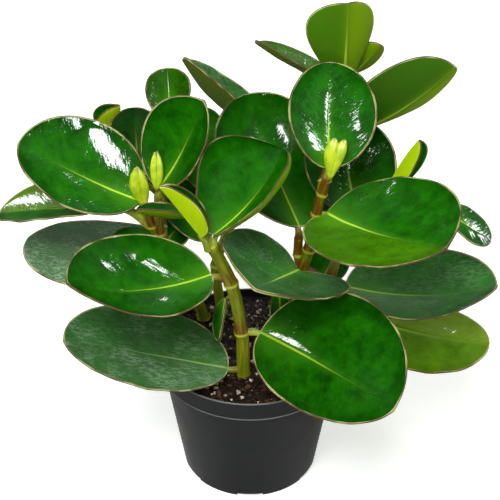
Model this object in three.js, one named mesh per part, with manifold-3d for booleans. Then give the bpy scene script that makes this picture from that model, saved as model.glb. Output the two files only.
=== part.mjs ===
// A potted peperomia: branching stems with thick spoon-shaped leaves, standing in a soil-filled
// nursery pot. Millimetres, +Z up. The origin is the centre of the pot's flat base on the floor,
// and -Y is the side that the front leaves face.
import * as THREE from "three";
import { mergeVertices } from "three/addons/utils/BufferGeometryUtils.js";
import Module from "manifold-3d";

const wasm = await Module();
wasm.setup();

// Driving dimensions, in millimetres and degrees
const gap = 0.3; // air left between neighbouring solids

const pot = {
  sides: 44,
  baseRadius: 41.4,
  wallTopRadius: 53.2,
  wallTopZ: 73,
  bandBottomRadius: 55.9,
  bandBottomZ: 74.2,
  lipRadius: 57.5,
  lipZ: 86.5,
  height: 88,
  wall: 1.3,
  floor: 2.2,
  footBevel: 1.5,
  drainHoles: 6,
  drainHoleRadius: 4.5,
  drainHoleCircle: 24,
  drainHoleSides: 20,
  notches: 6,
  notchWidth: 16,
  notchHeight: 2,
  notchDepth: 9,
};

const soil = {
  edgeZ: 83,
  crownZ: 84.6,
  bumpHeight: 0.6,
  bumpSpacing: 15,
  topRings: 4,
};

const bud = {
  sides: 10,
  steps: 8,
  bluntness: 0.6, // below 1 fills the lobe out towards its ends
};

const blade = {
  midThickness: 1.8,
  marginThickness: 0.9,
  stations: 10,
  stationsWhenSmall: 8,
  smallLength: 51,
  strips: 4,
};

const petiole = {
  radius: 2.2, // of a petiole whose leaf gives no stalk radius of its own
  sides: 6,
  steps: 4,
  rootFlare: 0.25, // share of the radius added where it leaves the stem
  tipTaper: 0.45, // share of the radius lost at the end under the blade
  reachIntoBlade: 0.06, // share of the blade's length that it runs along under the midrib
  sink: 0.35, // share of the radius by which that end lies below the midrib
  risePast: 0.08, // how far it lifts as it leaves the stem, as a share of its span
  handle: 0.35, // length of the curve's handles, as a share of its span
};

const stem = {
  sides: 10,
  stepLength: 9,
  nodeSwell: 0.16,
  nodeLength: 3,
  footZ: 45,
  footLean: -0.25, // the buried foot's step away from the next node, as a share of the way to it
  rootedBelow: 95, // a path that starts lower than this height is rooted in the soil
};

// Colours, with the roughness of each surface
const looks = {
  leafUpper: { color: 0x1d5a1c, roughness: 0.28 },
  leafOld: { color: 0x3d5a41, roughness: 0.55 },
  leafYoung: { color: 0x8fae1c, roughness: 0.4 },
  stem: { color: 0x7d7a1e, roughness: 0.45 },
  soil: { color: 0x221a15, roughness: 1.0 },
  pot: { color: 0x37393b, roughness: 0.6 },
};

// The stems. A path runs from the foot in the soil to the growing tip, and its points are the
// nodes; radius holds the thickness at the foot and at the tip.
const stems = {
  stem_front: [
    { path: [[-4, -24, 83], [-5, -25, 117], [-11, -27, 154], [-22, -28, 182]], radius: [4.1, 3.6] },
  ],
  stem_middle: [
    {
      path: [[-18, 33, 88], [-21, 35, 122], [-13, 42, 146], [-6, 60, 168], [-4, 84, 187]],
      radius: [3.4, 2.6],
    },
  ],
  stem_left: [
    {
      path: [[-29, 31, 85], [-39, 24, 116], [-50, 16, 146], [-58, 8, 171], [-61, 6, 185]],
      radius: [3.8, 2.6],
    },
    { path: [[-50, 16, 146], [-53, 9, 165], [-54, 7, 180], [-53, 7, 194]], radius: [3.0, 2.6] },
    {
      path: [[-50, 16, 146], [-53, 25, 158], [-52, 38, 173], [-47, 48, 192], [-47, 50, 208]],
      radius: [2.8, 2.2],
    },
    { path: [[-52, 38, 173], [-66, 47, 181], [-79, 56, 190]], radius: [2.3, 1.8] },
  ],
  stem_right: [
    {
      path: [
        [23, 20, 83], [28, 16, 106], [31, 10, 134], [35, 8, 153],
        [39, 8, 179], [42, 8, 193], [45, 8, 206],
      ],
      radius: [4.4, 2.6],
    },
    { path: [[31, 10, 134], [29, 13, 146], [29, 14, 159]], radius: [2.9, 2.6] },
    { path: [[39, 8, 179], [43, 22, 192], [48, 40, 208], [54, 58, 226]], radius: [2.8, 2.4] },
  ],
  stem_back: [
    { path: [[34, 28, 82], [49, 28, 117], [57, 24, 157], [59, 24, 166]], radius: [4.0, 2.8] },
    { path: [[57, 24, 157], [82, 25, 175], [103, 22, 180]], radius: [2.6, 2.0] },
  ],
};

// The leaves. base is where the blade meets its petiole and from is where the petiole leaves its
// stem. heading turns from +X towards +Y, rise tips the midrib up, roll lifts the leaf's left
// half; arch is the droop along the midrib (negative curls up), cup and fold lift the two halves,
// sway bends the midrib sideways, lobe draws the margin back beside the base, wide moves the
// widest part towards the tip and skew makes the left half wider, both as shares.
const leaves = {
  leaf_left_broad: {
    base: [-64, 7, 188], from: [-60, 7, 182], heading: 158, rise: 9, roll: -20,
    length: 80, width: 65, arch: -30, cup: 25, fold: 8, wide: 0, lobe: 2, skew: -0.06, sway: 4,
  },
  leaf_left_far: {
    base: [-80, 8, 185], from: [-58, 9, 169], heading: 168, rise: -12, roll: 6,
    length: 72, width: 56, arch: 0, cup: 19, fold: 5, wide: 0.06, lobe: 0, skew: 0, sway: 4, stalk: 2.6,
  },
  leaf_left_old: {
    base: [-55, 16, 140], from: [-47, 18, 139], heading: 158, rise: -10, roll: 0,
    length: 90, width: 72, arch: -10,
    cup: 6, fold: -4, wide: -0.06, lobe: 6, skew: 0, sway: 0, look: "leafOld",
  },
  leaf_left_front: {
    base: [-22, -27, 160], from: [-11, -27, 154], heading: 200, rise: -11, roll: -9,
    length: 93, width: 72, arch: -50, cup: 23, fold: 7, wide: -0.08, lobe: 0, skew: -0.05, sway: 1,
  },
  leaf_left_low: {
    base: [-13, -26, 89], from: [-4, -24, 87], heading: 174, rise: 9, roll: 0,
    length: 100, width: 77, arch: -11,
    cup: 15, fold: 3, wide: -0.03, lobe: 0, skew: 0.03, sway: 15, look: "leafOld",
  },
  leaf_left_top: {
    base: [-47, 50, 217], from: [-47, 50, 206], heading: 96, rise: 46, roll: -6,
    length: 32, width: 29, arch: -8, cup: 34, fold: 8, wide: 0.2, lobe: 2, skew: 0, sway: 0, stalk: 1.6,
  },
  leaf_left_upright: {
    base: [-53, 6, 197], from: [-53, 7, 190], heading: 36, rise: 43, roll: 8,
    length: 60, width: 50, arch: -30, cup: 26, fold: 9, wide: 0.1, lobe: 0, skew: 0.14, sway: 1,
  },
  leaf_left_young: {
    base: [-80, 60, 198], from: [-79, 56, 189], heading: 0, rise: 85, roll: 4,
    length: 24, width: 33, arch: 0, cup: 30, fold: 50, wide: 0, lobe: 0, skew: 0.02, sway: 0, stalk: 1.5,
  },
  leaf_left_behind: {
    base: [-66, 28, 196], from: [-53, 35, 172], heading: 96, rise: 36, roll: 0,
    length: 40, width: 34, arch: -5, cup: 18, fold: 4, wide: 0, lobe: 0, skew: 0, sway: 0, stalk: 1.8,
  },
  leaf_left_boat: {
    base: [-35, -13, 192], from: [-20, -28, 175], heading: 178, rise: -9, roll: 12,
    length: 31, width: 17, arch: -26, cup: 38, fold: 24, wide: 0, lobe: 0, skew: 0, sway: 0, stalk: 2,
  },
  leaf_left_tucked: {
    base: [-53, 6, 160], from: [-51, 14, 150], heading: 178, rise: 2, roll: 0,
    length: 30, width: 22, arch: 0, cup: 18, fold: 4, wide: 0, lobe: 0, skew: 0, sway: 0, stalk: 1.6,
  },
  leaf_centre_spoon: {
    base: [-20, -27, 188], from: [-18, -26, 173], heading: 44, rise: 9, roll: 4,
    length: 67, width: 70, arch: -36, cup: 62, fold: 16, wide: 0.52, lobe: 18, skew: 0.1, sway: 8,
  },
  leaf_centre_young: {
    base: [-27, -33, 191], from: [-24, -30, 180], heading: 180, rise: 56, roll: 0,
    length: 41, width: 24, arch: 0, cup: 18, fold: 60, wide: -0.1, lobe: 0, skew: 0, sway: 0, stalk: 1.8,
    look: "leafYoung",
  },
  leaf_centre_forward: {
    base: [29, 6, 139], from: [30, 10, 134], heading: 242, rise: 22, roll: -14,
    length: 98, width: 80, arch: -18, cup: 23, fold: 5, wide: -0.08, lobe: 30, skew: 0, sway: 14,
  },
  leaf_centre_small: {
    base: [-14, -16, 135], from: [-8, -25, 138], heading: 250, rise: -60, roll: 50,
    length: 26, width: 16, arch: 0, cup: 20, fold: 10, wide: 0, lobe: 0, skew: 0, sway: 0, stalk: 1.2,
  },
  leaf_centre_low: {
    base: [18, 12, 121], from: [29, 15, 112], heading: 272, rise: -68, roll: 0,
    length: 26, width: 14, arch: 0, cup: 20, fold: 10, wide: 0, lobe: 0, skew: 0, sway: 0, stalk: 1.3,
  },
  leaf_right_upright: {
    base: [45, 8, 210], from: [45, 8, 202], heading: 89, rise: 36, roll: 10,
    length: 64, width: 55, arch: -20, cup: 25, fold: 7, wide: 0.02, lobe: 0, skew: -0.03, sway: 2,
  },
  leaf_right_back: {
    base: [29, 14, 165], from: [29, 14, 157], heading: 115, rise: 30, roll: 18,
    length: 88, width: 92, arch: -16, cup: 18, fold: 4, wide: -0.02, lobe: 0, skew: 0.04, sway: 12,
  },
  leaf_right_shade: {
    base: [63, 24, 171], from: [58, 24, 162], heading: 102, rise: 30, roll: -6,
    length: 62, width: 57, arch: 2, cup: 20, fold: 5, wide: 0, lobe: 6, skew: -0.06, sway: -8,
  },
  leaf_right_broad: {
    base: [45, 8, 179], from: [39, 8, 177], heading: 304, rise: 10, roll: 14,
    length: 100, width: 81, arch: -9, cup: 13, fold: 3, wide: 0.12, lobe: 14, skew: 0.15, sway: 14,
  },
  leaf_right_old: {
    base: [58, 22, 115], from: [31, 10, 137], heading: 350, rise: -10, roll: 3,
    length: 95, width: 73, arch: -36,
    cup: 22, fold: 6, wide: -0.02, lobe: 2, skew: 0, sway: 2, look: "leafOld",
    stalk: 2.6,
  },
  leaf_right_lime: {
    base: [66, 20, 94], from: [44, 31, 98], heading: 349, rise: -16, roll: 4,
    length: 84, width: 65, arch: -17, cup: 6, fold: -2, wide: -0.02, lobe: 2, skew: -0.05, sway: 3,
    look: "leafYoung",
  },
  leaf_right_front: {
    base: [6, -27, 118], from: [-5, -25, 116], heading: 324, rise: -3, roll: 29,
    length: 100, width: 78, arch: -7, cup: 17, fold: 4, wide: -0.02, lobe: 0, skew: 0.18, sway: -9,
  },
  leaf_right_far: {
    base: [117, 20, 173], from: [102, 22, 180], heading: 7, rise: -45, roll: 22,
    length: 36, width: 25, arch: -15, cup: 14, fold: 2, wide: 0.04, lobe: 0, skew: 0, sway: 0, stalk: 2,
  },
  leaf_top: {
    base: [55, 60, 233], from: [53, 55, 224], heading: 285, rise: 83, roll: 0,
    length: 58, width: 43, arch: -10, cup: 30, fold: 10, wide: 0.34, lobe: -8, skew: -0.05, sway: 1,
    look: "leafYoung",
  },
  leaf_top_right: {
    base: [70, 60, 207], from: [49, 41, 208], heading: 339, rise: 36, roll: -50,
    length: 68, width: 53, arch: -25, cup: 27, fold: 11, wide: 0.03, lobe: 8, skew: -0.06, sway: 4,
  },
  leaf_top_small: {
    base: [59, 74, 235], from: [56, 60, 222], heading: 349, rise: 48, roll: -56,
    length: 28, width: 22, arch: -8, cup: 20, fold: 5, wide: 0.13, lobe: 0, skew: 0, sway: 4, stalk: 1.4,
  },
  leaf_top_left: {
    base: [48, 70, 230], from: [52, 61, 223], heading: 151, rise: 13, roll: 27,
    length: 54, width: 42, arch: -6, cup: 26, fold: 4, wide: 0.03, lobe: 8, skew: 0, sway: -3, stalk: 1.8,
  },
  leaf_back_narrow: {
    base: [-4, 86, 196], from: [-4, 83, 186], heading: 134, rise: -1, roll: 36,
    length: 68, width: 38, arch: -28, cup: 30, fold: 30, wide: -0.2, lobe: 8, skew: -0.08, sway: 0,
  },
  leaf_right_young: {
    base: [82, 25, 184], from: [83, 24, 176], heading: 180, rise: 106, roll: -15,
    length: 40, width: 26, arch: -18, cup: 30, fold: 30, wide: 0, lobe: 0, skew: -0.25, sway: 0, stalk: 1.8,
    look: "leafYoung",
  },
  leaf_back_hidden: {
    base: [-27, 56, 163], from: [-12, 44, 148], heading: 94, rise: 48, roll: 4,
    length: 52, width: 32, arch: -10, cup: 18, fold: 4, wide: 0, lobe: 0, skew: 0, sway: 0,
  },
  leaf_back_low: {
    base: [-27, 30, 144], from: [-20, 36, 130], heading: 130, rise: 27, roll: 6,
    length: 48, width: 36, arch: -10, cup: 16, fold: 4, wide: 0, lobe: 0, skew: 0, sway: 0,
  },
  leaf_left_inner: {
    base: [-53, 22, 146], from: [-48, 18, 142], heading: 60, rise: 10, roll: 30,
    length: 24, width: 20, arch: 0, cup: 16, fold: 4, wide: 0, lobe: 0, skew: 0, sway: 0, stalk: 1.5,
  },
  leaf_right_inner: {
    base: [42, 30, 107], from: [45, 31, 102], heading: 60, rise: 30, roll: 0,
    length: 36, width: 26, arch: 0, cup: 18, fold: 4, wide: 0, lobe: 0, skew: 0, sway: 0, stalk: 1.6,
  },
};

// The leaf buds at the growing tips, each a pair of lobes. A lobe is a flattened almond that leans
// by the given degrees towards +X and +Y and bows sideways; widest above 1 moves its widest part
// towards the tip.
const buds = {
  bud_left: {
    base: [-61, 4, 185.3], length: 28, depth: 6, widest: 1.2,
    lobes: [{ leans: [-10, 4], bow: -2.6, width: 7 }, { leans: [-9, 7], bow: 1.9, width: 5.5 }],
  },
  bud_left_inner: {
    base: [-54, 4, 197], length: 24, depth: 4, widest: 1,
    lobes: [{ leans: [-2, 20], bow: -1.1, width: 4.5 }, { leans: [1, 23], bow: 1.6, width: 4.5 }],
  },
  bud_right: {
    base: [46, 3, 205], length: 26, depth: 6, widest: 1.5,
    lobes: [{ leans: [6, 20], bow: -1.2, width: 8 }, { leans: [21, 24], bow: -0.5, width: 7.5 }],
  },
};

const rad = THREE.MathUtils.degToRad;
const vec = (p) => new THREE.Vector3(...p);
const upright = new THREE.Vector3(0, 0, 1);
const leastArch = rad(0.01); // stands in for an arch of 0, which can't be divided by

// A closed solid through rings of points that run counter-clockwise as seen from the far end;
// head and tail are the points that close the two ends. flip(j) picks the other diagonal.
function loft(rings, head, tail, flip = () => false) {
  const count = rings[0].length;
  const points = [head, ...rings.flat(), tail];
  const at = (i, j) => 1 + i * count + (j % count);
  const last = points.length - 1;
  const faces = [];
  for (let j = 0; j < count; j++) {
    faces.push(0, at(0, j + 1), at(0, j));
    faces.push(last, at(rings.length - 1, j), at(rings.length - 1, j + 1));
  }
  for (let i = 0; i + 1 < rings.length; i++) {
    for (let j = 0; j < count; j++) {
      const [a, b, c, d] = [at(i, j), at(i, j + 1), at(i + 1, j + 1), at(i + 1, j)];
      if (flip(j)) faces.push(a, b, d, b, c, d);
      else faces.push(a, b, c, a, c, d);
    }
  }
  return new wasm.Manifold(
    new wasm.Mesh({
      numProp: 3,
      vertProperties: new Float32Array(points.flatMap((p) => p.toArray())),
      triVerts: new Uint32Array(faces),
    }),
  );
}

// A solid with the others cut away from it. Only its largest body stays, without the stub that a
// cut can leave on the far side of a stem.
function clearOf(others, solid) {
  const bodies = others.reduce((a, b) => a.subtract(b), solid).decompose();
  return bodies.reduce((a, b) => (b.volume() > a.volume() ? b : a));
}

// A round tube along a curve; radiusAt(u) is its radius at the share u of its length
function tube(curve, radiusAt, sides, steps) {
  const frames = curve.computeFrenetFrames(steps, false);
  const rings = [];
  for (let i = 0; i <= steps; i++) {
    const u = i / steps;
    const centre = curve.getPointAt(u);
    const across = frames.normals[i];
    const up = frames.binormals[i];
    const ring = [];
    for (let j = 0; j < sides; j++) {
      const turn = (2 * Math.PI * j) / sides;
      ring.push(
        centre
          .clone()
          .addScaledVector(across, radiusAt(u) * Math.cos(turn))
          .addScaledVector(up, radiusAt(u) * Math.sin(turn)),
      );
    }
    rings.push(ring);
  }
  return loft(rings, curve.getPointAt(0), curve.getPointAt(1));
}

// The vector turned by an angle towards another one at right angles to it
function turned(vector, towards, angle) {
  return vector.clone().multiplyScalar(Math.cos(angle)).addScaledVector(towards, Math.sin(angle));
}

// A leaf's axes at its base: along the midrib, to its left, and out of its upper face
function leafAxes({ heading, rise, roll }) {
  const [h, r, o] = [rad(heading), rad(rise), rad(roll)];
  const along = new THREE.Vector3(Math.cos(r) * Math.cos(h), Math.cos(r) * Math.sin(h), Math.sin(r));
  const level = new THREE.Vector3(-Math.sin(h), Math.cos(h), 0);
  const over = along.clone().cross(level);
  return { along, left: turned(level, over, o), up: turned(over, level, -o) };
}

// The midrib's point and axes at theta, which runs from 0 at the base to pi at the tip
function midribAt(leaf, axes, theta) {
  const share = (1 - Math.cos(theta)) / 2;
  const arch = leaf.arch ? rad(leaf.arch) : leastArch;
  const sway = rad(leaf.sway);
  const droop = arch * share;
  const turn = sway * share;
  const point = vec(leaf.base)
    .addScaledVector(axes.along, (leaf.length * Math.sin(droop)) / arch)
    .addScaledVector(axes.up, (-leaf.length * (1 - Math.cos(droop))) / arch)
    .addScaledVector(axes.left, (leaf.length * sway * share * share) / 2);
  const ahead = turned(axes.along, axes.up, -droop);
  const up = turned(axes.up, axes.along, droop);
  const left = turned(axes.left, ahead, -turn);
  const along = turned(ahead, axes.left, turn);
  return { point, along, left, up };
}

// A point of the blade's middle surface and its normal; side runs from -1, the right margin, to 1
function bladeAt(leaf, axes, theta, side) {
  const rib = midribAt(leaf, axes, theta);
  const away = Math.abs(side);
  const sign = Math.sign(side);
  const fold = rad(leaf.fold);
  const cup = rad(leaf.cup);
  const widening = (1 - leaf.wide * Math.cos(theta)) * (1 + leaf.skew * sign);
  const half = (leaf.width / 2) * Math.sin(theta) * widening;
  const tilt = fold + cup * away;
  const out = (half * (Math.sin(tilt) - Math.sin(fold))) / cup;
  const lift = (half * (Math.cos(fold) - Math.cos(tilt))) / cup;
  const back = (leaf.lobe * away * away * Math.sin(theta) * (1 + Math.cos(theta))) / 2;
  const point = rib.point
    .addScaledVector(rib.left, sign * out)
    .addScaledVector(rib.up, lift)
    .addScaledVector(rib.along, -back);
  return { point, normal: turned(rib.up, rib.left, -sign * tilt) };
}

// The blade: its middle surface thickened to both sides, thinner at the margin
function bladeSolid(leaf, axes) {
  const { strips, midThickness, marginThickness } = blade;
  const stations = leaf.length < blade.smallLength ? blade.stationsWhenSmall : blade.stations;
  const rings = [];
  for (let i = 1; i < stations; i++) {
    const theta = (Math.PI * i) / stations;
    const upper = [];
    const lower = [];
    for (let j = 0; j <= strips; j++) {
      const side = 1 - (2 * j) / strips;
      const { point, normal } = bladeAt(leaf, axes, theta, side);
      const thickness = marginThickness + (midThickness - marginThickness) * (1 - side * side);
      upper.push(point.clone().addScaledVector(normal, thickness / 2));
      lower.unshift(point.clone().addScaledVector(normal, -thickness / 2));
    }
    rings.push([...upper, ...lower]);
  }
  const head = bladeAt(leaf, axes, 0, 0).point;
  const tail = bladeAt(leaf, axes, Math.PI, 0).point;
  return loft(rings, head, tail, (j) => j > strips);
}

// The petiole leaves its stem, swings round to the midrib's line and runs a little way under it
function petioleSolid(leaf, axes) {
  const { handle, sink, risePast, rootFlare, tipTaper } = petiole;
  const radius = leaf.stalk ?? petiole.radius;
  const start = vec(leaf.from);
  const end = vec(leaf.base);
  const span = start.distanceTo(end);
  const leaving = start.clone().lerp(end, handle).addScaledVector(upright, risePast * span);
  const arriving = end
    .clone()
    .addScaledVector(axes.along, -handle * span)
    .addScaledVector(axes.up, -sink * radius);
  const under = end
    .clone()
    .addScaledVector(axes.along, petiole.reachIntoBlade * leaf.length)
    .addScaledVector(axes.up, -sink * radius);
  const curve = new THREE.CubicBezierCurve3(start, leaving, arriving, under);
  const radiusAt = (u) => radius * (1 + rootFlare * (1 - u) ** 3 - tipTaper * u ** 3);
  return tube(curve, radiusAt, petiole.sides, petiole.steps);
}

// One branch of a stem, swollen at its nodes; grow thickens it all over
function branchSolid({ path, radius }, grow) {
  const nodes = path.map(vec);
  if (nodes[0].z < stem.rootedBelow) {
    nodes.unshift(nodes[0].clone().lerp(nodes[1], stem.footLean).setZ(stem.footZ));
  }
  const curve = new THREE.CatmullRomCurve3(nodes, false, "centripetal");
  const length = curve.getLength();
  const steps = Math.round(length / stem.stepLength);
  const radiusAt = (u) => {
    const here = curve.getPointAt(u);
    const nearest = Math.min(...nodes.slice(1).map((n) => n.distanceTo(here)));
    const swell = stem.nodeSwell * Math.exp(-((nearest / stem.nodeLength) ** 2));
    return (radius[0] + (radius[1] - radius[0]) * u) * (1 + swell) + grow;
  };
  return tube(curve, radiusAt, stem.sides, steps);
}

// A stem with its side branches as one solid
function stemSolid(branches, grow = 0) {
  return branches.map((b) => branchSolid(b, grow)).reduce((a, b) => a.add(b));
}

// A circle of the pot's facets at the given radius and height
function circle(radius, z) {
  const ring = [];
  for (let j = 0; j < pot.sides; j++) {
    const turn = (2 * Math.PI * j) / pot.sides;
    ring.push(new THREE.Vector3(radius * Math.cos(turn), radius * Math.sin(turn), z));
  }
  return ring;
}

// The pot's inner face from the floor to the lip, as [radius, z] points
function innerSection() {
  const slope = (pot.wallTopRadius - pot.baseRadius) / pot.wallTopZ;
  return [
    [pot.baseRadius + slope * pot.floor - pot.wall, pot.floor],
    [pot.wallTopRadius - pot.wall, pot.wallTopZ],
    [pot.bandBottomRadius - pot.wall, pot.bandBottomZ + pot.wall],
    [pot.lipRadius - pot.wall, pot.lipZ],
  ];
}

// A three.js solid as a manifold, for the cutters
function solidOf(geometry) {
  const corners = geometry.toNonIndexed().getAttribute("position");
  const merged = mergeVertices(new THREE.BufferGeometry().setAttribute("position", corners));
  return new wasm.Manifold(
    new wasm.Mesh({
      numProp: 3,
      vertProperties: merged.getAttribute("position").array,
      triVerts: new Uint32Array(merged.index.array),
    }),
  );
}

// Drain holes through the floor, and the slots under the wall's foot
function drainCutters() {
  const cutters = [];
  const holeLength = 4 * pot.floor;
  for (let k = 0; k < pot.drainHoles; k++) {
    const turn = (2 * Math.PI * (k + 0.5)) / pot.drainHoles;
    const radius = pot.drainHoleRadius;
    const hole = new THREE.CylinderGeometry(radius, radius, holeLength, pot.drainHoleSides);
    hole.rotateX(Math.PI / 2);
    hole.translate(pot.drainHoleCircle * Math.cos(turn), pot.drainHoleCircle * Math.sin(turn), 0);
    cutters.push(solidOf(hole));
  }
  for (let k = 0; k < pot.notches; k++) {
    const turn = (2 * Math.PI * k) / pot.notches - Math.PI / 2;
    const slot = new THREE.BoxGeometry(pot.notchDepth, pot.notchWidth, 2 * pot.notchHeight);
    slot.translate(pot.baseRadius, 0, 0);
    slot.rotateZ(turn);
    cutters.push(solidOf(slot));
  }
  return cutters;
}

// The pot: a floor, a tapered wall and a wider band with a rounded lip
function potSolid() {
  const roundedLip = [
    [pot.lipRadius, pot.lipZ],
    [pot.lipRadius - pot.wall / 4, (pot.lipZ + 2 * pot.height) / 3],
    [pot.lipRadius - pot.wall / 2, pot.height],
  ];
  const outer = [
    [pot.baseRadius - pot.footBevel, 0],
    [pot.baseRadius, pot.footBevel / 2],
    [pot.wallTopRadius, pot.wallTopZ],
    [pot.bandBottomRadius, pot.bandBottomZ],
    ...roundedLip,
  ];
  const section = [...outer, ...innerSection().reverse()];
  const shell = loft(
    section.map(([r, z]) => circle(r, z)),
    new THREE.Vector3(0, 0, 0),
    new THREE.Vector3(0, 0, pot.floor),
  );
  return drainCutters().reduce((a, b) => a.subtract(b), shell);
}

// The height of the soil's top, which falls from the crown to the edge and is gently uneven
function soilTop(x, y) {
  const share = Math.hypot(x, y) / pot.lipRadius;
  const wave = (2 * Math.PI) / soil.bumpSpacing;
  const bumps = Math.sin(wave * x) * Math.cos(wave * y);
  return soil.crownZ + (soil.edgeZ - soil.crownZ) * share ** 2 + soil.bumpHeight * bumps;
}

// The soil fills the pot to just under the lip, with a plain hole for each stem
function soilSolid(stemHoles) {
  const [floor, ledge, shoulder, lip] = innerSection();
  const rimShare = (soil.edgeZ - shoulder[1]) / (lip[1] - shoulder[1]);
  const rimRadius = shoulder[0] + (lip[0] - shoulder[0]) * rimShare - gap;
  const rings = [
    circle(floor[0] - gap, floor[1] + gap),
    circle(ledge[0] - gap, ledge[1]),
    circle(shoulder[0] - gap, shoulder[1] + gap),
  ];
  for (let i = 0; i < soil.topRings; i++) {
    const ring = circle(rimRadius * (1 - i / soil.topRings), soil.edgeZ);
    ring.forEach((p) => p.setZ(i === 0 ? soil.edgeZ - soil.bumpHeight : soilTop(p.x, p.y)));
    rings.push(ring);
  }
  const bottom = new THREE.Vector3(0, 0, floor[1] + gap);
  const crown = new THREE.Vector3(0, 0, soilTop(0, 0));
  const filling = loft(rings, bottom, crown);
  return stemHoles.reduce((a, b) => a.subtract(b), filling);
}

function lobeSolid({ base, length, depth, widest }, { leans, bow, width }) {
  const axis = new THREE.Vector3(Math.tan(rad(leans[0])), Math.tan(rad(leans[1])), 1).normalize();
  const across = new THREE.Vector3(1, 0, 0).addScaledVector(axis, -axis.x).normalize();
  const out = axis.clone().cross(across);
  const rings = [];
  for (let i = 1; i < bud.steps; i++) {
    const u = i / bud.steps;
    const swell = Math.sin(Math.PI * u ** widest) ** bud.bluntness;
    const ring = [];
    for (let j = 0; j < bud.sides; j++) {
      const turn = (2 * Math.PI * j) / bud.sides;
      ring.push(
        vec(base)
          .addScaledVector(axis, u * length)
          .addScaledVector(across, bow * Math.sin(Math.PI * u) + (width / 2) * swell * Math.cos(turn))
          .addScaledVector(out, (depth / 2) * swell * Math.sin(turn)),
      );
    }
    rings.push(ring);
  }
  return loft(rings, vec(base), vec(base).addScaledVector(axis, length));
}

function meshOf(name, solid, look) {
  const mesh = solid.getMesh();
  const geometry = new THREE.BufferGeometry();
  geometry.setAttribute("position", new THREE.BufferAttribute(new Float32Array(mesh.vertProperties), 3));
  geometry.setIndex(new THREE.BufferAttribute(new Uint32Array(mesh.triVerts), 1));
  geometry.computeVertexNormals();
  const piece = new THREE.Mesh(geometry, new THREE.MeshStandardMaterial({ ...looks[look], metalness: 0 }));
  piece.name = name;
  return piece;
}

const potted = new THREE.Group();
const plant = new THREE.Group();
const grownStems = Object.values(stems).map((branches) => stemSolid(branches, gap));

potted.add(meshOf("pot", potSolid(), "pot"));
potted.add(meshOf("soil", soilSolid(grownStems), "soil"));

for (const [name, branches] of Object.entries(stems)) {
  plant.add(meshOf(name, stemSolid(branches), "stem"));
}

for (const [name, leaf] of Object.entries(leaves)) {
  const axes = leafAxes(leaf);
  const whole = bladeSolid(leaf, axes).add(petioleSolid(leaf, axes));
  plant.add(meshOf(name, clearOf(grownStems, whole), leaf.look ?? "leafUpper"));
}

for (const [name, pair] of Object.entries(buds)) {
  const whole = pair.lobes.map((lobe) => lobeSolid(pair, lobe)).reduce((a, b) => a.add(b));
  plant.add(meshOf(name, clearOf(grownStems, whole), "leafYoung"));
}

potted.add(plant);

export default potted;
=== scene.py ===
import math
import bpy
import numpy as np
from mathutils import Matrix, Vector


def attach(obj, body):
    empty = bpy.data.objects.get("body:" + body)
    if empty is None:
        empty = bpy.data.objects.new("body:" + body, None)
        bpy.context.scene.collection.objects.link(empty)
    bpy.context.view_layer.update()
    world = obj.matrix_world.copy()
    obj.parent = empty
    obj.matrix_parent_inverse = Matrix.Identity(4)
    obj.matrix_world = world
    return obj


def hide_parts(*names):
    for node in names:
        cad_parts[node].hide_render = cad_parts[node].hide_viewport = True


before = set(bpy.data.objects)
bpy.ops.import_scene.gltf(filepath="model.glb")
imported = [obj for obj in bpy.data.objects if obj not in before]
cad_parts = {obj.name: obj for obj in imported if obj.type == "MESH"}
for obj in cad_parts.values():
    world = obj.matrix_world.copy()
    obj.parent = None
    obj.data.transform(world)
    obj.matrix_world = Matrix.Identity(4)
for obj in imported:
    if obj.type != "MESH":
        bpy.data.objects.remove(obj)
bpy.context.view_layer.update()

# A potted peperomia: thick glossy leaves on branching stems, dark potting mix, a tapered nursery pot.
# Lengths in the dictionaries are millimetres and angles are degrees, and the meshes are made in metres.
mm = 0.001
root = "root"


# Node helpers


def paint(code):  # a colour as the screen shows it, such as 0x3366aa, in a shader's linear values
    parts = [(code >> shift & 255) / 255 for shift in (16, 8, 0)]
    return [p / 12.92 if p <= 0.04045 else ((p + 0.055) / 1.055) ** 2.4 for p in parts] + [1.0]


def addNode(tree, kind, sockets=None, **settings):
    made = tree.nodes.new(kind)
    for key, value in settings.items():
        setattr(made, key, value)
    for key, value in (sockets or {}).items():
        if isinstance(value, bpy.types.NodeSocket):
            tree.links.new(value, made.inputs[key])
        else:
            made.inputs[key].default_value = value
    return made


def compute(tree, operation, a, b=0.0, clamp=False):
    return addNode(tree, "ShaderNodeMath", {0: a, 1: b}, operation=operation, use_clamp=clamp).outputs[0]


def times(tree, a, b, clamp=False):
    return compute(tree, "MULTIPLY", a, b, clamp)


def plus(tree, a, b):
    return compute(tree, "ADD", a, b)


def vectorOf(tree, x=0.0, y=0.0, z=0.0):
    return addNode(tree, "ShaderNodeCombineXYZ", {0: x, 1: y, 2: z}).outputs[0]


def ramp(tree, value, low, high, start=0.0, end=1.0):  # a smooth step from start to end
    sockets = {"Value": value, "From Min": low, "From Max": high, "To Min": start, "To Max": end}
    return addNode(tree, "ShaderNodeMapRange", sockets, interpolation_type="SMOOTHSTEP").outputs["Result"]


def mixColour(tree, share, a, b, blend="MIX"):
    sockets = {0: share, 6: a, 7: b}
    return addNode(tree, "ShaderNodeMix", sockets, data_type="RGBA", blend_type=blend).outputs[2]


def readValue(tree, name):
    return addNode(tree, "ShaderNodeAttribute", attribute_name=name, attribute_type="GEOMETRY").outputs["Fac"]


def grainAt(tree, vector, scale, detail=3.0, roughness=0.55):
    sockets = {"Vector": vector, "Scale": scale, "Detail": detail, "Roughness": roughness}
    return addNode(tree, "ShaderNodeTexNoise", sockets).outputs["Fac"]


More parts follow.
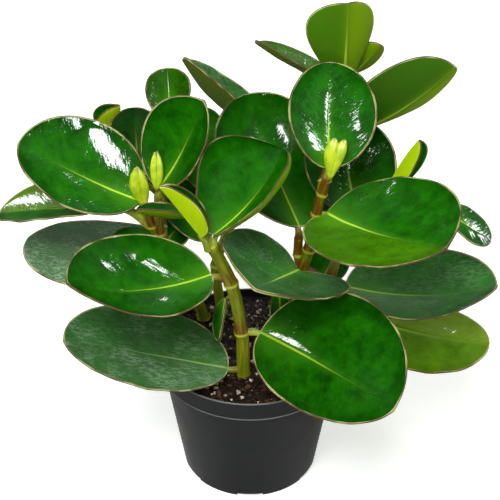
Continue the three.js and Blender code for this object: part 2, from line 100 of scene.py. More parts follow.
def newMaterial(name, **finish):  # the material, its tree, its Principled node and its Object coordinates
    material = bpy.data.materials.new(name)
    material.use_nodes = True
    tree = material.node_tree
    surface = tree.nodes["Principled BSDF"]
    for key, value in finish.items():
        surface.inputs[key.replace("_", " ")].default_value = value
    place = addNode(tree, "ShaderNodeTexCoord").outputs["Object"]
    return material, tree, surface, place


def setBump(tree, surface, height, strength, distance):
    made = addNode(tree, "ShaderNodeBump", {"Height": height, "Strength": strength, "Distance": distance})
    tree.links.new(made.outputs["Normal"], surface.inputs["Normal"])


def newGroup(name, inputs, outputs, kind="ShaderNodeTree"):  # dictionaries of socket names and their kinds
    group = bpy.data.node_groups.new(name, kind)
    for way, sockets in (("INPUT", inputs), ("OUTPUT", outputs)):
        for label, socketKind in sockets.items():
            group.interface.new_socket(label, in_out=way, socket_type="NodeSocket" + socketKind)
    return group, group.nodes.new("NodeGroupInput").outputs, group.nodes.new("NodeGroupOutput").inputs


def useGroup(tree, group, sockets):
    return addNode(tree, "ShaderNodeGroup", sockets, node_tree=group).outputs


# Mesh helpers


def meshPiece(name, points, faces, materials, faceSlots=None, values=None):
    mesh = bpy.data.meshes.new(name)
    mesh.from_pydata((np.asarray(points) * mm).tolist(), [], faces)
    mesh.polygons.foreach_set("use_smooth", [True] * len(mesh.polygons))
    if faceSlots is not None:
        mesh.polygons.foreach_set("material_index", faceSlots)
    for key, data in (values or {}).items():
        layer = mesh.attributes.new(key, "FLOAT", "POINT")
        layer.data.foreach_set("value", np.asarray(data, dtype=np.float32))
    for material in materials:
        mesh.materials.append(material)
    mesh.update()
    piece = bpy.data.objects.new(name, mesh)
    bpy.context.scene.collection.objects.link(piece)
    return piece


def standsFor(piece, node):
    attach(piece, root)
    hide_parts(node)


def loftFaces(rings, count, first=0):  # faces through rings of count points, closed by a point at each end
    faces = []
    last = first + 1 + rings * count
    for j in range(count):
        k = (j + 1) % count
        faces.append((first, first + 1 + k, first + 1 + j))
        faces.append((last, last - count + j, last - count + k))
    for i in range(rings - 1):
        a = first + 1 + i * count
        for j in range(count):
            k = (j + 1) % count
            faces.append((a + j, a + k, a + count + k, a + count + j))
    return faces


def addLoft(points, faces, start, rings, end):  # adds its faces to the list, and returns all points so far
    faces += loftFaces(len(rings), len(rings[0]), len(points))
    return np.concatenate([points, [start], np.reshape(rings, (-1, 3)), [end]])


def unit(vectors):
    return vectors / np.maximum(np.linalg.norm(vectors, axis=-1, keepdims=True), 1e-12)


def circlePoints(count):
    turns = np.arange(count) * 2 * math.pi / count
    return np.stack([np.cos(turns), np.sin(turns)], axis=1)


def levelRing(flat, heights):  # points in the plane, lifted to their heights
    return np.column_stack([flat, np.broadcast_to(heights, len(flat))])


def tubePoints(centres, radii, sides, ridges=0, ridgeDepth=0.0):
    ahead = unit(np.gradient(centres, axis=0))
    across = np.cross(ahead[0], [0.3, 1.0, 0.2])  # any direction that isn't the tube's own
    turns = np.arange(sides) * 2 * math.pi / sides
    shape = 1 + ridgeDepth * np.cos(ridges * turns)
    rings = []
    for centre, direction, radius in zip(centres, ahead, radii):
        across = unit(across - direction * np.dot(across, direction))
        up = np.cross(direction, across)
        ring = np.outer(np.cos(turns) * shape, across) + np.outer(np.sin(turns) * shape, up)
        rings.append(centre + radius * ring)
    return np.array(rings)


def waves(seed, points, spacing, count=5):  # smooth random waves, the same on every run
    draw = np.random.default_rng(seed)
    total = np.zeros(points.shape[:-1])
    for _ in range(count):
        direction = unit(draw.normal(size=3))
        beat = 2 * math.pi / (spacing * draw.uniform(0.7, 1.4))
        total += np.sin(points @ direction * beat + draw.uniform(0, 6.3))
    return total / count


# Leaf materials

leafPaint = dict(
    deep=0x043C00,  # upper face between its lighter patches
    fresh=0x1E7402,  # those patches
    base=0x4E9A1A,  # beside the midrib near the petiole
    rib=0xB4DC3C,  # midrib at the base
    ribTip=0x2C7A16,  # midrib near the tip
    lime=0x84A404,  # upper face of a young leaf
    under=0x3F6A10,  # lower face
    underLime=0xAFCF0C,  # lower face of a young leaf
    paintedUnderShade=0x2A3212,  # painted shade on the lower face, dark brown-olive
    old=0x3E6E38,  # upper face of an old leaf
    oldRib=0x93AC86,  # its midrib
    frost=0xA7BFA4,  # its whitish mottling
    cream=0xC4BC84,  # the line inside the margin
    edge=0x4A2A1E,  # the brown margin itself
)

# Each pair is waves for each mm along and across the blade
leafPattern = dict(
    veinSlant=0.75,  # mm towards the base for each mm from the midrib
    veinSpacing=11.0,
    streak=(0.9, 0.22),
    drawnOut=(0.13, 0.05),
    broad=(0.08, 0.08),
    mottle=(0.3, 0.75),
    blotch=55.0,  # these two are for each metre
    rimUneven=60.0,
)

leafFinishes = {
    "leafBlade": dict(Specular_IOR_Level=0.02, IOR=1.45, Coat_Roughness=0.05, Coat_IOR=2.0),
    "leafBladeOld": dict(Specular_IOR_Level=0.15, IOR=1.2, Coat_Roughness=0.2, Coat_IOR=1.6),
}


def leafColour(key):
    return paint(leafPaint[key])


def leafGrain(tree, along, across, seed, pattern, detail, roughness):
    alongWaves, acrossWaves = leafPattern[pattern]
    place = vectorOf(tree, times(tree, along, alongWaves), times(tree, across, acrossWaves), seed)
    return grainAt(tree, place, 1.0, detail, roughness)


def makeRimGroup():  # the thin cream line along a leaf's margin, with a brown edge outside it
    group, given, put = newGroup(
        "leafRim",
        {
            "Colour": "Color", "Rim": "Float", "Vector": "Vector",
            "Cream width": "Float", "Brown width": "Float",
        },
        {"Colour": "Color"},
    )
    uneven = grainAt(group, given["Vector"], leafPattern["rimUneven"], 2.0)
    creamEnd = times(group, given["Cream width"], ramp(group, uneven, 0.3, 0.7, 0.6, 1.3))
    brownEnd = times(group, given["Brown width"], ramp(group, uneven, 0.35, 0.65, 1.8, 0.3))
    cream = ramp(group, compute(group, "DIVIDE", given["Rim"], creamEnd), 0.75, 1.1, 0.8, 0.0)
    brown = ramp(group, compute(group, "DIVIDE", given["Rim"], brownEnd), 0.7, 1.2, 0.9, 0.0)
    colour = mixColour(group, cream, given["Colour"], leafColour("cream"))
    colour = mixColour(group, brown, colour, leafColour("edge"))
    group.links.new(colour, put["Colour"])
    return group


def makeStreakGroup():  # speckles and streaks along the side veins, as height and as masks
    group, given, put = newGroup(
        "veinStreaks",
        {"Along": "Float", "Across": "Float", "Seed": "Float", "Wax": "Float"},
        {"Height": "Float", "Veins": "Float", "Patches": "Float", "Gloss": "Float"},
    )
    along, across, seed = (given[key] for key in ("Along", "Across", "Seed"))
    away = compute(group, "ABSOLUTE", across)
    slant = compute(group, "SUBTRACT", along, times(group, away, leafPattern["veinSlant"]))
    streaks = leafGrain(group, slant, across, seed, "streak", 3.0, 0.6)
    drawnOut = leafGrain(group, slant, across, seed, "drawnOut", 3.0, 0.55)
    broad = leafGrain(group, along, across, seed, "broad", 8.0, 0.72)
    specks = grainAt(group, vectorOf(group, along, across, seed), 1.3, 2.0, 0.5)
    relief = plus(group, ramp(group, streaks, 0.42, 0.6), ramp(group, specks, 0.42, 0.56, 0.0, 0.5))
    group.links.new(plus(group, relief, streaks), put["Height"])
    bend = compute(group, "SUBTRACT", along, times(group, compute(group, "POWER", away, 0.85), 1.1))
    beat = compute(group, "SINE", times(group, bend, 2 * math.pi / leafPattern["veinSpacing"]))
    group.links.new(ramp(group, beat, 0.86, 1.0), put["Veins"])
    group.links.new(plus(group, times(group, drawnOut, 0.12), times(group, broad, 0.88)), put["Patches"])
    # Wax shines through where it is thick, and breaks into streaks and specks where it thins out
    glossWearAndPaintedHighlight = plus(group, times(group, streaks, 2.2), times(group, specks, 1.1))
    whole = plus(group, given["Wax"], compute(group, "SUBTRACT", glossWearAndPaintedHighlight, 1.65))
    group.links.new(ramp(group, whole, 0.4, 0.95), put["Gloss"])
    return group


rimGroup = makeRimGroup()
streakGroup = makeStreakGroup()


def upperFace(tree, at, streaks):
    patch = ramp(tree, streaks["Patches"], 0.3, 0.7, 0.05, 0.95)
    patch = times(tree, patch, ramp(tree, at["rim"], 0.0, 12.0, 0.55, 1.0))
    green = mixColour(tree, patch, leafColour("deep"), leafColour("fresh"))
    share, away = at["share"], at["away"]
    nearBase = times(tree, ramp(tree, share, 0.0, 0.5, 0.6, 0.0), ramp(tree, away, 0.0, 16.0, 1.0, 0.15))
    nearRib = times(tree, ramp(tree, away, 0.5, 5.0, 0.3, 0.0), ramp(tree, share, 0.3, 1.0, 1.0, 0.0))
    for paler in (nearBase, nearRib, times(tree, streaks["Veins"], 0.035)):
        green = mixColour(tree, paler, green, leafColour("base"))
    green = mixColour(tree, at["frost"], green, leafColour("old"))
    mottle = leafGrain(tree, at["along"], at["across"], at["seed"], "mottle", 8.0, 0.78)
    blotch = grainAt(tree, at["place"], leafPattern["blotch"], 3.0, 0.6)
    frosted = times(tree, ramp(tree, mottle, 0.42, 0.62), ramp(tree, blotch, 0.4, 0.65, 0.2, 1.0))
    green = mixColour(tree, times(tree, frosted, at["frost"]), green, leafColour("frost"))
    limeHere = times(tree, at["lime"], ramp(tree, streaks["Patches"], 0.3, 0.6, 0.6, 1.0))
    return mixColour(tree, limeHere, green, leafColour("lime"))


def midribLine(tree, at):  # its mask, fading towards the tip, and its colour on the upper face
    width = ramp(tree, at["share"], 0.0, 0.9, 1.2, 0.2)
    line = ramp(tree, compute(tree, "DIVIDE", at["away"], width), 0.35, 1.0, 1.0, 0.0)
    colour = mixColour(tree, ramp(tree, at["share"], 0.2, 0.85), leafColour("rib"), leafColour("ribTip"))
    colour = mixColour(tree, times(tree, at["frost"], 1.25, clamp=True), colour, leafColour("oldRib"))
    return times(tree, line, ramp(tree, at["share"], 0.25, 0.9, 1.0, 0.15)), colour


def lowerFace(tree, at, streaks, rib):
    mixed = ramp(tree, streaks["Patches"], 0.3, 0.7, 0.0, 0.5)
    under = mixColour(tree, mixed, leafColour("under"), leafColour("fresh"))
    under = mixColour(tree, at["limeUnder"], under, leafColour("underLime"))
    under = mixColour(tree, times(tree, at["frost"], 0.5), under, leafColour("old"))
    under = mixColour(tree, times(tree, rib, 0.7), under, leafColour("rib"))
    # painted shade: the lower face darkens towards brown-olive
    return mixColour(tree, at["paintedUnderShade"], under, leafColour("paintedUnderShade"))


bladeValues = [
    "along", "across", "rim", "share", "upper", "seed", "wax", "leafLength",
    "lime", "limeUnder", "frost", "paintedUnderShade", "paintedShade",
]


def makeBladeMaterial(name, smoothest, roughest):
    material, tree, surface, place = newMaterial(name, **leafFinishes[name])
    at = {key: readValue(tree, key) for key in bladeValues}
    at["place"] = place
    at["away"] = compute(tree, "ABSOLUTE", at["across"])
    given = {"Along": at["along"], "Across": at["across"], "Seed": at["seed"], "Wax": at["wax"]}
    streaks = useGroup(tree, streakGroup, given)
    rib, ribColour = midribLine(tree, at)
    green = mixColour(tree, rib, upperFace(tree, at, streaks), ribColour)
    colour = mixColour(tree, at["upper"], lowerFace(tree, at, streaks, rib), green)
    # painted shade: both faces' colour is multiplied, darker below 1, and painted light above 1
    colour = mixColour(tree, 1.0, colour, at["paintedShade"], "MULTIPLY")
    lines = {
        "Cream width": ramp(tree, at["leafLength"], 25.0, 80.0, 0.4, 0.68),
        "Brown width": 0.24,
    }
    rimmed = useGroup(tree, rimGroup, {"Colour": colour, "Rim": at["rim"], "Vector": place, **lines})
    tree.links.new(rimmed["Colour"], surface.inputs["Base Color"])
    rough = ramp(tree, streaks["Patches"], 0.35, 0.65, smoothest, roughest)
    rough = plus(tree, rough, ramp(tree, at["upper"], 0.0, 1.0, 0.2, 0.0))
    tree.links.new(rough, surface.inputs["Roughness"])
    tree.links.new(times(tree, streaks["Gloss"], at["upper"]), surface.inputs["Coat Weight"])
    setBump(tree, surface, streaks["Height"], 0.5, 0.08 * mm)
    return material


petiolePaint = dict(green=0x77861A, pale=0xA2B536, rust=0x6A3A16)


def makePetioleMaterial():
    material, tree, surface, place = newMaterial("petioleSkin", Roughness=0.35, Specular_IOR_Level=0.3)
    green, pale, rust = (paint(code) for code in petiolePaint.values())
    patches = grainAt(tree, place, 120.0, 3.0)
    colour = mixColour(tree, ramp(tree, patches, 0.35, 0.65), green, pale)
    nearStem = ramp(tree, readValue(tree, "share"), 0.3, 0.9, 1.0, 0.2)
    colour = mixColour(tree, times(tree, readValue(tree, "rust"), nearStem), colour, rust)
    tree.links.new(colour, surface.inputs["Base Color"])
    setBump(tree, surface, grainAt(tree, place, 900.0), 0.2, 0.3 * mm)
    return material


bladeMaterials = {
    "glossy": makeBladeMaterial("leafBlade", 0.28, 0.36),
    "matte": makeBladeMaterial("leafBladeOld", 0.4, 0.5),
}
petioleMaterial = makePetioleMaterial()
print("leaf materials ready")


# Leaves. base is where blade and petiole meet and root is where the petiole leaves its stem. heading
# turns from +X towards +Y, rise tips the midrib up and roll lifts the left half; arch is the droop along
# the midrib, cup and fold lift the halves, sway bends the midrib sideways, lobe draws the margin back
# beside the base, wide moves the widest part towards the base or tip and skew makes one half wider.

plainLeaf = dict(roll=0, arch=0, wide=0, lobe=0, skew=0, sway=0, stalk=2.2)  # stalk is the petiole's radius

leafShapes = {
    "leaf_left_broad": dict(
        base=(-64, 7, 188), root=(-60, 7, 182), heading=158, rise=9, roll=-20,
        length=80, width=65, arch=-30, cup=25, fold=8, lobe=2, skew=-0.06, sway=4,
    ),
    "leaf_left_far": dict(
        base=(-80, 8, 185), root=(-58, 9, 169), heading=168, rise=-12, roll=6,
        length=72, width=56, cup=19, fold=5, wide=0.06, sway=4, stalk=2.6,
    ),
    "leaf_left_old": dict(
        base=(-55, 16, 140), root=(-47, 18, 139), heading=158, rise=-10,
        length=90, width=72, arch=-10, cup=6, fold=-4, wide=-0.06, lobe=6,
    ),
    "leaf_left_front": dict(
        base=(-22, -27, 160), root=(-11, -27, 154), heading=200, rise=-11, roll=-9,
        length=93, width=72, arch=-50, cup=23, fold=7, wide=-0.08, skew=-0.05, sway=1,
    ),
    "leaf_left_low": dict(
        base=(-13, -26, 89), root=(-4, -24, 87), heading=174, rise=9,
        length=100, width=77, arch=-11, cup=15, fold=3, wide=-0.03, skew=0.03, sway=15,
    ),
    "leaf_left_top": dict(
        base=(-47, 50, 217), root=(-47, 50, 206), heading=96, rise=46, roll=-6,
        length=32, width=29, arch=-8, cup=34, fold=8, wide=0.2, lobe=2, stalk=1.6,
    ),
    "leaf_left_upright": dict(
        base=(-53, 6, 197), root=(-53, 7, 190), heading=36, rise=43, roll=8,
        length=60, width=50, arch=-30, cup=26, fold=9, wide=0.1, skew=0.14, sway=1,
    ),
    "leaf_left_young": dict(
        base=(-80, 60, 198), root=(-79, 56, 189), heading=0, rise=85, roll=4,
        length=24, width=33, cup=30, fold=50, skew=0.02, stalk=1.5,
    ),
    "leaf_left_behind": dict(
        base=(-66, 28, 196), root=(-53, 35, 172), heading=96, rise=36,
        length=40, width=34, arch=-5, cup=18, fold=4, stalk=1.8,
    ),
    "leaf_left_boat": dict(
        base=(-35, -13, 192), root=(-20, -28, 175), heading=178, rise=-9, roll=12,
        length=31, width=17, arch=-26, cup=38, fold=24, stalk=2,
    ),
    "leaf_left_tucked": dict(
        base=(-53, 6, 160), root=(-51, 14, 150), heading=178, rise=2,
        length=30, width=22, cup=18, fold=4, stalk=1.6,
    ),
    "leaf_centre_spoon": dict(
        base=(-20, -27, 188), root=(-18, -26, 173), heading=44, rise=9, roll=4,
        length=67, width=70, arch=-36, cup=62, fold=16, wide=0.52, lobe=18, skew=0.1, sway=8,
    ),
    "leaf_centre_young": dict(
        base=(-27, -33, 191), root=(-24, -30, 180), heading=180, rise=56,
        length=41, width=24, cup=18, fold=60, wide=-0.1, stalk=1.8,
    ),
    "leaf_centre_forward": dict(
        base=(29, 6, 139), root=(30, 10, 134), heading=242, rise=22, roll=-14,
        length=98, width=80, arch=-18, cup=23, fold=5, wide=-0.08, lobe=30, sway=14,
    ),
    "leaf_centre_small": dict(
        base=(-14, -16, 135), root=(-8, -25, 138), heading=250, rise=-60, roll=50,
        length=26, width=16, cup=20, fold=10, stalk=1.2,
    ),
    "leaf_centre_low": dict(
        base=(18, 12, 121), root=(29, 15, 112), heading=272, rise=-68,
        length=26, width=14, cup=20, fold=10, stalk=1.3,
    ),
    "leaf_right_upright": dict(
        base=(45, 8, 210), root=(45, 8, 202), heading=89, rise=36, roll=10,
        length=64, width=55, arch=-20, cup=25, fold=7, wide=0.02, skew=-0.03, sway=2,
    ),
    "leaf_right_back": dict(
        base=(29, 14, 165), root=(29, 14, 157), heading=115, rise=30, roll=18,
        length=88, width=92, arch=-16, cup=18, fold=4, wide=-0.02, skew=0.04, sway=12,
    ),
    "leaf_right_shade": dict(
        base=(63, 24, 171), root=(58, 24, 162), heading=102, rise=30, roll=-6,
        length=62, width=57, arch=2, cup=20, fold=5, lobe=6, skew=-0.06, sway=-8,
    ),
    "leaf_right_broad": dict(
        base=(45, 8, 179), root=(39, 8, 177), heading=304, rise=10, roll=14,
        length=100, width=81, arch=-9, cup=13, fold=3, wide=0.12, lobe=14, skew=0.15, sway=14,
    ),
    "leaf_right_old": dict(
        base=(58, 22, 115), root=(31, 10, 137), heading=350, rise=-10, roll=3,
        length=95, width=73, arch=-36, cup=22, fold=6, wide=-0.02, lobe=2, sway=2, stalk=2.6,
    ),
    "leaf_right_lime": dict(
        base=(66, 20, 94), root=(44, 31, 98), heading=349, rise=-16, roll=4,
        length=84, width=65, arch=-17, cup=6, fold=-2, wide=-0.02, lobe=2, skew=-0.05, sway=3,
    ),
    "leaf_right_front": dict(
        base=(6, -27, 118), root=(-5, -25, 116), heading=324, rise=-3, roll=29,
        length=100, width=78, arch=-7, cup=17, fold=4, wide=-0.02, skew=0.18, sway=-9,
    ),
    "leaf_right_far": dict(
        base=(117, 20, 173), root=(102, 22, 180), heading=7, rise=-45, roll=22,
        length=36, width=25, arch=-15, cup=14, fold=2, wide=0.04, stalk=2,
    ),
    "leaf_top": dict(
        base=(55, 60, 233), root=(53, 55, 224), heading=285, rise=83,
        length=58, width=43, arch=-10, cup=30, fold=10, wide=0.34, lobe=-8, skew=-0.05, sway=1,
    ),
    "leaf_top_right": dict(
        base=(70, 60, 207), root=(49, 41, 208), heading=339, rise=36, roll=-50,
        length=68, width=53, arch=-25, cup=27, fold=11, wide=0.03, lobe=8, skew=-0.06, sway=4,
    ),
    "leaf_top_small": dict(
        base=(59, 74, 235), root=(56, 60, 222), heading=349, rise=48, roll=-56,
        length=28, width=22, arch=-8, cup=20, fold=5, wide=0.13, sway=4, stalk=1.4,
    ),
    "leaf_top_left": dict(
        base=(48, 70, 230), root=(52, 61, 223), heading=151, rise=13, roll=27,
        length=54, width=42, arch=-6, cup=26, fold=4, wide=0.03, lobe=8, sway=-3, stalk=1.8,
    ),
    "leaf_back_narrow": dict(
        base=(-4, 86, 196), root=(-4, 83, 186), heading=134, rise=-1, roll=36,
        length=68, width=38, arch=-28, cup=30, fold=30, wide=-0.2, lobe=8, skew=-0.08,
    ),
    "leaf_right_young": dict(
        base=(82, 25, 184), root=(83, 24, 176), heading=180, rise=106, roll=-15,
        length=40, width=26, arch=-18, cup=30, fold=30, skew=-0.25, stalk=1.8,
    ),
    "leaf_back_hidden": dict(
        base=(-27, 56, 163), root=(-12, 44, 148), heading=94, rise=48, roll=4,
        length=52, width=32, arch=-10, cup=18, fold=4,
    ),
    "leaf_back_low": dict(
        base=(-27, 30, 144), root=(-20, 36, 130), heading=130, rise=27, roll=6,
        length=48, width=36, arch=-10, cup=16, fold=4,
    ),
    "leaf_left_inner": dict(
        base=(-53, 22, 146), root=(-48, 18, 142), heading=60, rise=10, roll=30,
        length=24, width=20, cup=16, fold=4, stalk=1.5,
    ),
    "leaf_right_inner": dict(
        base=(42, 30, 107), root=(45, 31, 102), heading=60, rise=30,
        length=36, width=26, cup=18, fold=4, stalk=1.6,
    ),
}

# Tints, each one number or a (left half, right half) pair: lime is the upper face's youth and limeUnder
# the lower face's, frost is the pale bloom of an old leaf, and rust browns the petiole. Two tints are painted
# light: painted shade, dark brown-olive, on the lower face, and painted shade that darkens both faces below 1
# and turns to painted light that lightens them above. plainWax is the gloss all over, and wax adds patches
# of it, each (share along, mm across, half length, half width, degrees turned, thickness).
plainTint = dict(
    lime=0.0, limeUnder=0.35, frost=0.0, paintedUnderShade=0.0, paintedShade=1.0, rust=0.15,
    plainWax=0.15, wax=[], bract=False, finish="glossy",
)

leafTints = {
    "leaf_left_broad": dict(
        plainWax=0.1, paintedShade=(1.15, 0.95),
        wax=[(0.46, -24, 27, 5, -28, 1.05), (0.72, -28, 12, 3, -20, 0.9), (0.5, 9, 14, 5, -20, 0.4)],
    ),
    "leaf_left_far": dict(paintedShade=(0.9, 0.95), lime=(0.0, 0.35), wax=[(0.8, -11, 16, 4.5, 0, 0.95)]),
    "leaf_left_old": dict(plainWax=-0.2, frost=(0.85, 0.5), paintedShade=(0.95, 0.5), rust=0.6, finish="matte"),
    "leaf_left_low": dict(plainWax=-0.2, frost=(0.6, 0.5), paintedShade=(0.95, 0.9), rust=0.5, finish="matte"),
    "leaf_left_front": dict(
        rust=1.0, plainWax=0.1, bract=True,
        wax=[(0.4, -23, 24, 4.5, -40, 0.8), (0.68, -16, 9, 4.5, -10, 0.75), (0.33, 17, 14, 5, 0, 0.85)],
    ),
    "leaf_left_top": dict(lime=0.06, paintedShade=0.95, wax=[(0.7, 1, 11, 2, 0, 1.0), (0.75, -6, 5, 2, 20, 0.8)]),
    "leaf_left_upright": dict(paintedShade=(0.8, 0.72), plainWax=0.1, wax=[(0.42, 12, 6, 2, 30, 0.6)]),
    "leaf_left_behind": dict(paintedShade=0.3, plainWax=0.0),
    "leaf_left_young": dict(limeUnder=0.7, paintedShade=0.85),
    "leaf_left_boat": dict(paintedShade=0.7, plainWax=0.1),
    "leaf_centre_spoon": dict(plainWax=-0.3),
    "leaf_centre_forward": dict(plainWax=0.0, frost=0.24, paintedShade=(0.95, 1.2), rust=0.0, finish="matte"),
    "leaf_centre_small": dict(paintedShade=0.8),
    "leaf_centre_low": dict(paintedShade=0.55),
    "leaf_centre_young": dict(limeUnder=0.8, paintedShade=(1.0, 0.85)),
    "leaf_right_upright": dict(
        plainWax=0.05,
        wax=[(0.6, 1, 21, 1.8, 0, 0.75), (0.22, 8, 11, 3.5, 30, 0.8), (0.42, -18, 12, 4, 10, 0.65)],
    ),
    "leaf_right_back": dict(
        rust=1.0, plainWax=0.1, paintedShade=0.8,
        wax=[(0.75, -18, 22, 5, 8, 1.0), (0.3, -30, 13, 4, 20, 0.8)],
    ),
    "leaf_right_shade": dict(paintedShade=0.6, plainWax=0.1, wax=[(0.46, -9, 13, 9, 20, 0.75)]),
    "leaf_right_broad": dict(
        plainWax=0.0, lime=(0.0, 0.16), paintedShade=(1.05, 1.25),
        wax=[(0.2, 25, 16, 4, 45, 1.0), (0.86, 14, 16, 6, -57, 0.7)],
    ),
    "leaf_right_front": dict(
        rust=0.2, plainWax=-0.2, paintedShade=0.75, bract=True,
        wax=[(0.2, 3.2, 14, 1.8, 4, 0.95)],
    ),
    "leaf_right_far": dict(wax=[(0.7, -1, 11, 6, 0, 0.8)]),
    "leaf_right_old": dict(plainWax=-0.2, frost=0.22, paintedShade=(1.3, 1.0), rust=1.0, finish="matte"),
    "leaf_right_lime": dict(
        lime=(0.85, 0.35), limeUnder=0.6, plainWax=-0.2,
        wax=[(0.7, 8, 5, 1.5, -30, 0.3)],
    ),
    "leaf_right_young": dict(limeUnder=0.85, paintedShade=(1.0, 0.9)),
    "leaf_top": dict(paintedShade=0.85, lime=0.25, limeUnder=(0.3, 0.05)),
    "leaf_top_right": dict(limeUnder=(0.3, 0.0), paintedUnderShade=(0.1, 0.3)),
    "leaf_top_left": dict(lime=0.12, paintedUnderShade=0.6),
    "leaf_back_narrow": dict(frost=0.35, paintedUnderShade=0.85),
}

leafBuild = dict(
    stations=60,
    acrossSteps=38,
    smallLength=45,  # a shorter leaf has fewer steps
    smallStations=36,
    smallAcrossSteps=24,
    crowding=1.4,  # above 1 sets more points beside the midrib
    midThickness=1.8,
    marginThickness=0.9,
    unevenHeight=0.5,  # broad waves all over
    unevenSpacing=34.0,
    ruffleHeight=0.9,  # waves of the margin
    ruffleSpacing=22.0,
    puckerHeight=0.13,  # small dimples along the side veins
    puckerSpacing=9.0,
    grooveDepth=0.45,  # the midrib's groove in the upper face
    grooveWidth=1.0,
    bankHeight=0.14,  # the swelling on both sides of it
    bankPlace=3.5,
    bankWidth=2.5,
    ridgeHeight=0.9,  # the midrib's ridge on the lower face
    ridgeWidth=1.5,
    rimTurns=(50, 0, -50),  # round the rounded rim, from the upper face to the lower
    rimFromTop=(0.3, 0.05, 0.0),  # how far inside the margin these count for its paint
    rimDepth=0.7,  # a share of a half round
    halvesBlend=1.5,  # how softly the left half's tint meets the right half's
    petioleSides=14,
    petioleSteps=22,
    petioleReach=0.35,  # how much of the way it keeps its direction at each end
    petioleLift=0.08,  # its bow upwards, a share of its length
    petioleUnder=0.06,  # how far it runs on under the blade, a share of the blade's length
    petioleDrop=0.35,  # how far it lies under the blade's base, a share of its radius
    petioleFoot=0.25,  # it widens at the stem
    petioleTaper=0.45,  # and narrows at the blade
    bractLength=8.5,  # the small brown scale under a petiole's root
    bractRadius=1.3,
    bractStart=3.0,  # from the root
    bractSides=10,
    bractSteps=9,
)


def leafAxes(leaf):
    heading, rise, roll = np.radians([leaf["heading"], leaf["rise"], leaf["roll"]])
    along = np.array([math.cos(rise) * math.cos(heading), math.cos(rise) * math.sin(heading), math.sin(rise)])
    level = np.array([-math.sin(heading), math.cos(heading), 0.0])
    over = np.cross(along, level)
    left = level * math.cos(roll) + over * math.sin(roll)
    up = over * math.cos(roll) - level * math.sin(roll)
    return along, left, up


def bladeSurface(leaf, theta, side):  # points, normals and half widths on the blade's middle surface
    along, left, up = leafAxes(leaf)
    arch = math.radians(leaf["arch"] or 0.01)
    sway, fold, cup = (math.radians(leaf[key]) for key in ("sway", "fold", "cup"))
    share = (1 - np.cos(theta)) / 2
    droop, turn = arch * share, sway * share
    length = leaf["length"]
    middle = np.array(leaf["base"]) + np.outer(length * np.sin(droop) / arch, along)
    middle = middle - np.outer(length * (1 - np.cos(droop)) / arch, up)
    middle = middle + np.outer(length * sway * share**2 / 2, left)
    ahead = np.outer(np.cos(droop), along) - np.outer(np.sin(droop), up)
    top = np.outer(np.cos(droop), up) + np.outer(np.sin(droop), along)
    beside = np.outer(np.cos(turn), left) - ahead * np.sin(turn)[:, None]
    ahead = ahead * np.cos(turn)[:, None] + np.outer(np.sin(turn), left)
    sign, away = np.sign(side), np.abs(side)
    widening = np.outer(np.sin(theta) * (1 - leaf["wide"] * np.cos(theta)), 1 + leaf["skew"] * sign)
    half = leaf["width"] / 2 * widening
    tilt = fold + cup * away
    out = half * (np.sin(tilt) - math.sin(fold)) / cup
    lift = half * (math.cos(fold) - np.cos(tilt)) / cup
    back = leaf["lobe"] * np.outer(np.sin(theta) * (1 + np.cos(theta)), away**2) / 2
    points = middle[:, None] + (sign * out)[..., None] * beside[:, None] + lift[..., None] * top[:, None]
    points = points - back[..., None] * ahead[:, None]
    normals = np.cos(tilt)[None, :, None] * top[:, None]
    normals = normals - (sign * np.sin(tilt))[None, :, None] * beside[:, None]
    return points, normals, half, share


def rimDistance(points, outline):  # each point's distance to the nearest point of the blade's outline
    flat = points.reshape(-1, 3)
    nearest = np.full(len(flat), 1e9)
    for start, end in zip(outline, np.roll(outline, -1, axis=0)):
        step = end - start
        share = np.clip((flat - start) @ step / max(step @ step, 1e-9), 0, 1)
        gap = flat - start - share[:, None] * step
        nearest = np.minimum(nearest, np.einsum("ij,ij->i", gap, gap))
    return np.sqrt(nearest).reshape(points.shape[:-1])


def bladeWaves(points, alongMm, across, side, swell, seed):
    build = leafBuild
    uneven = waves(seed, points, build["unevenSpacing"]) * build["unevenHeight"] * swell
    ruffle = waves(seed + 50, points, build["ruffleSpacing"]) * build["ruffleHeight"] * swell
    ruffle = ruffle * np.abs(side) ** 3
    slant = alongMm - leafPattern["veinSlant"] * np.abs(across)
    veinPlace = np.stack([slant, 0.35 * across, 0 * across], axis=-1)
    pucker = waves(seed + 90, veinPlace, build["puckerSpacing"], 8) * build["puckerHeight"] * swell
    return uneven + ruffle + pucker


def faceHeights(across, side, share, swell):  # how far both faces stand off the middle surface
    build = leafBuild
    thickness = build["marginThickness"] + (build["midThickness"] - build["marginThickness"]) * (1 - side**2)
    fade = (1 - share)[:, None]
    groove = build["grooveDepth"] * np.exp(-((across / build["grooveWidth"]) ** 2)) * fade**0.5
    fromBank = (np.abs(across) - build["bankPlace"]) / build["bankWidth"]
    bank = build["bankHeight"] * np.exp(-(fromBank**2)) * fade
    ridge = build["ridgeHeight"] * np.exp(-((across / build["ridgeWidth"]) ** 2)) * fade**1.3
    return thickness / 2 - groove * swell + bank * swell, thickness / 2 + ridge * swell


def rimStrip(corner, normal, outward):  # the rounded rim, a little outside the margin
    edge = leafBuild["marginThickness"] / 2
    turns = np.radians(leafBuild["rimTurns"])
    depth = leafBuild["rimDepth"]
    strips = [corner + edge * (depth * math.cos(t) * outward + math.sin(t) * normal) for t in turns]
    return np.stack(strips, axis=1)


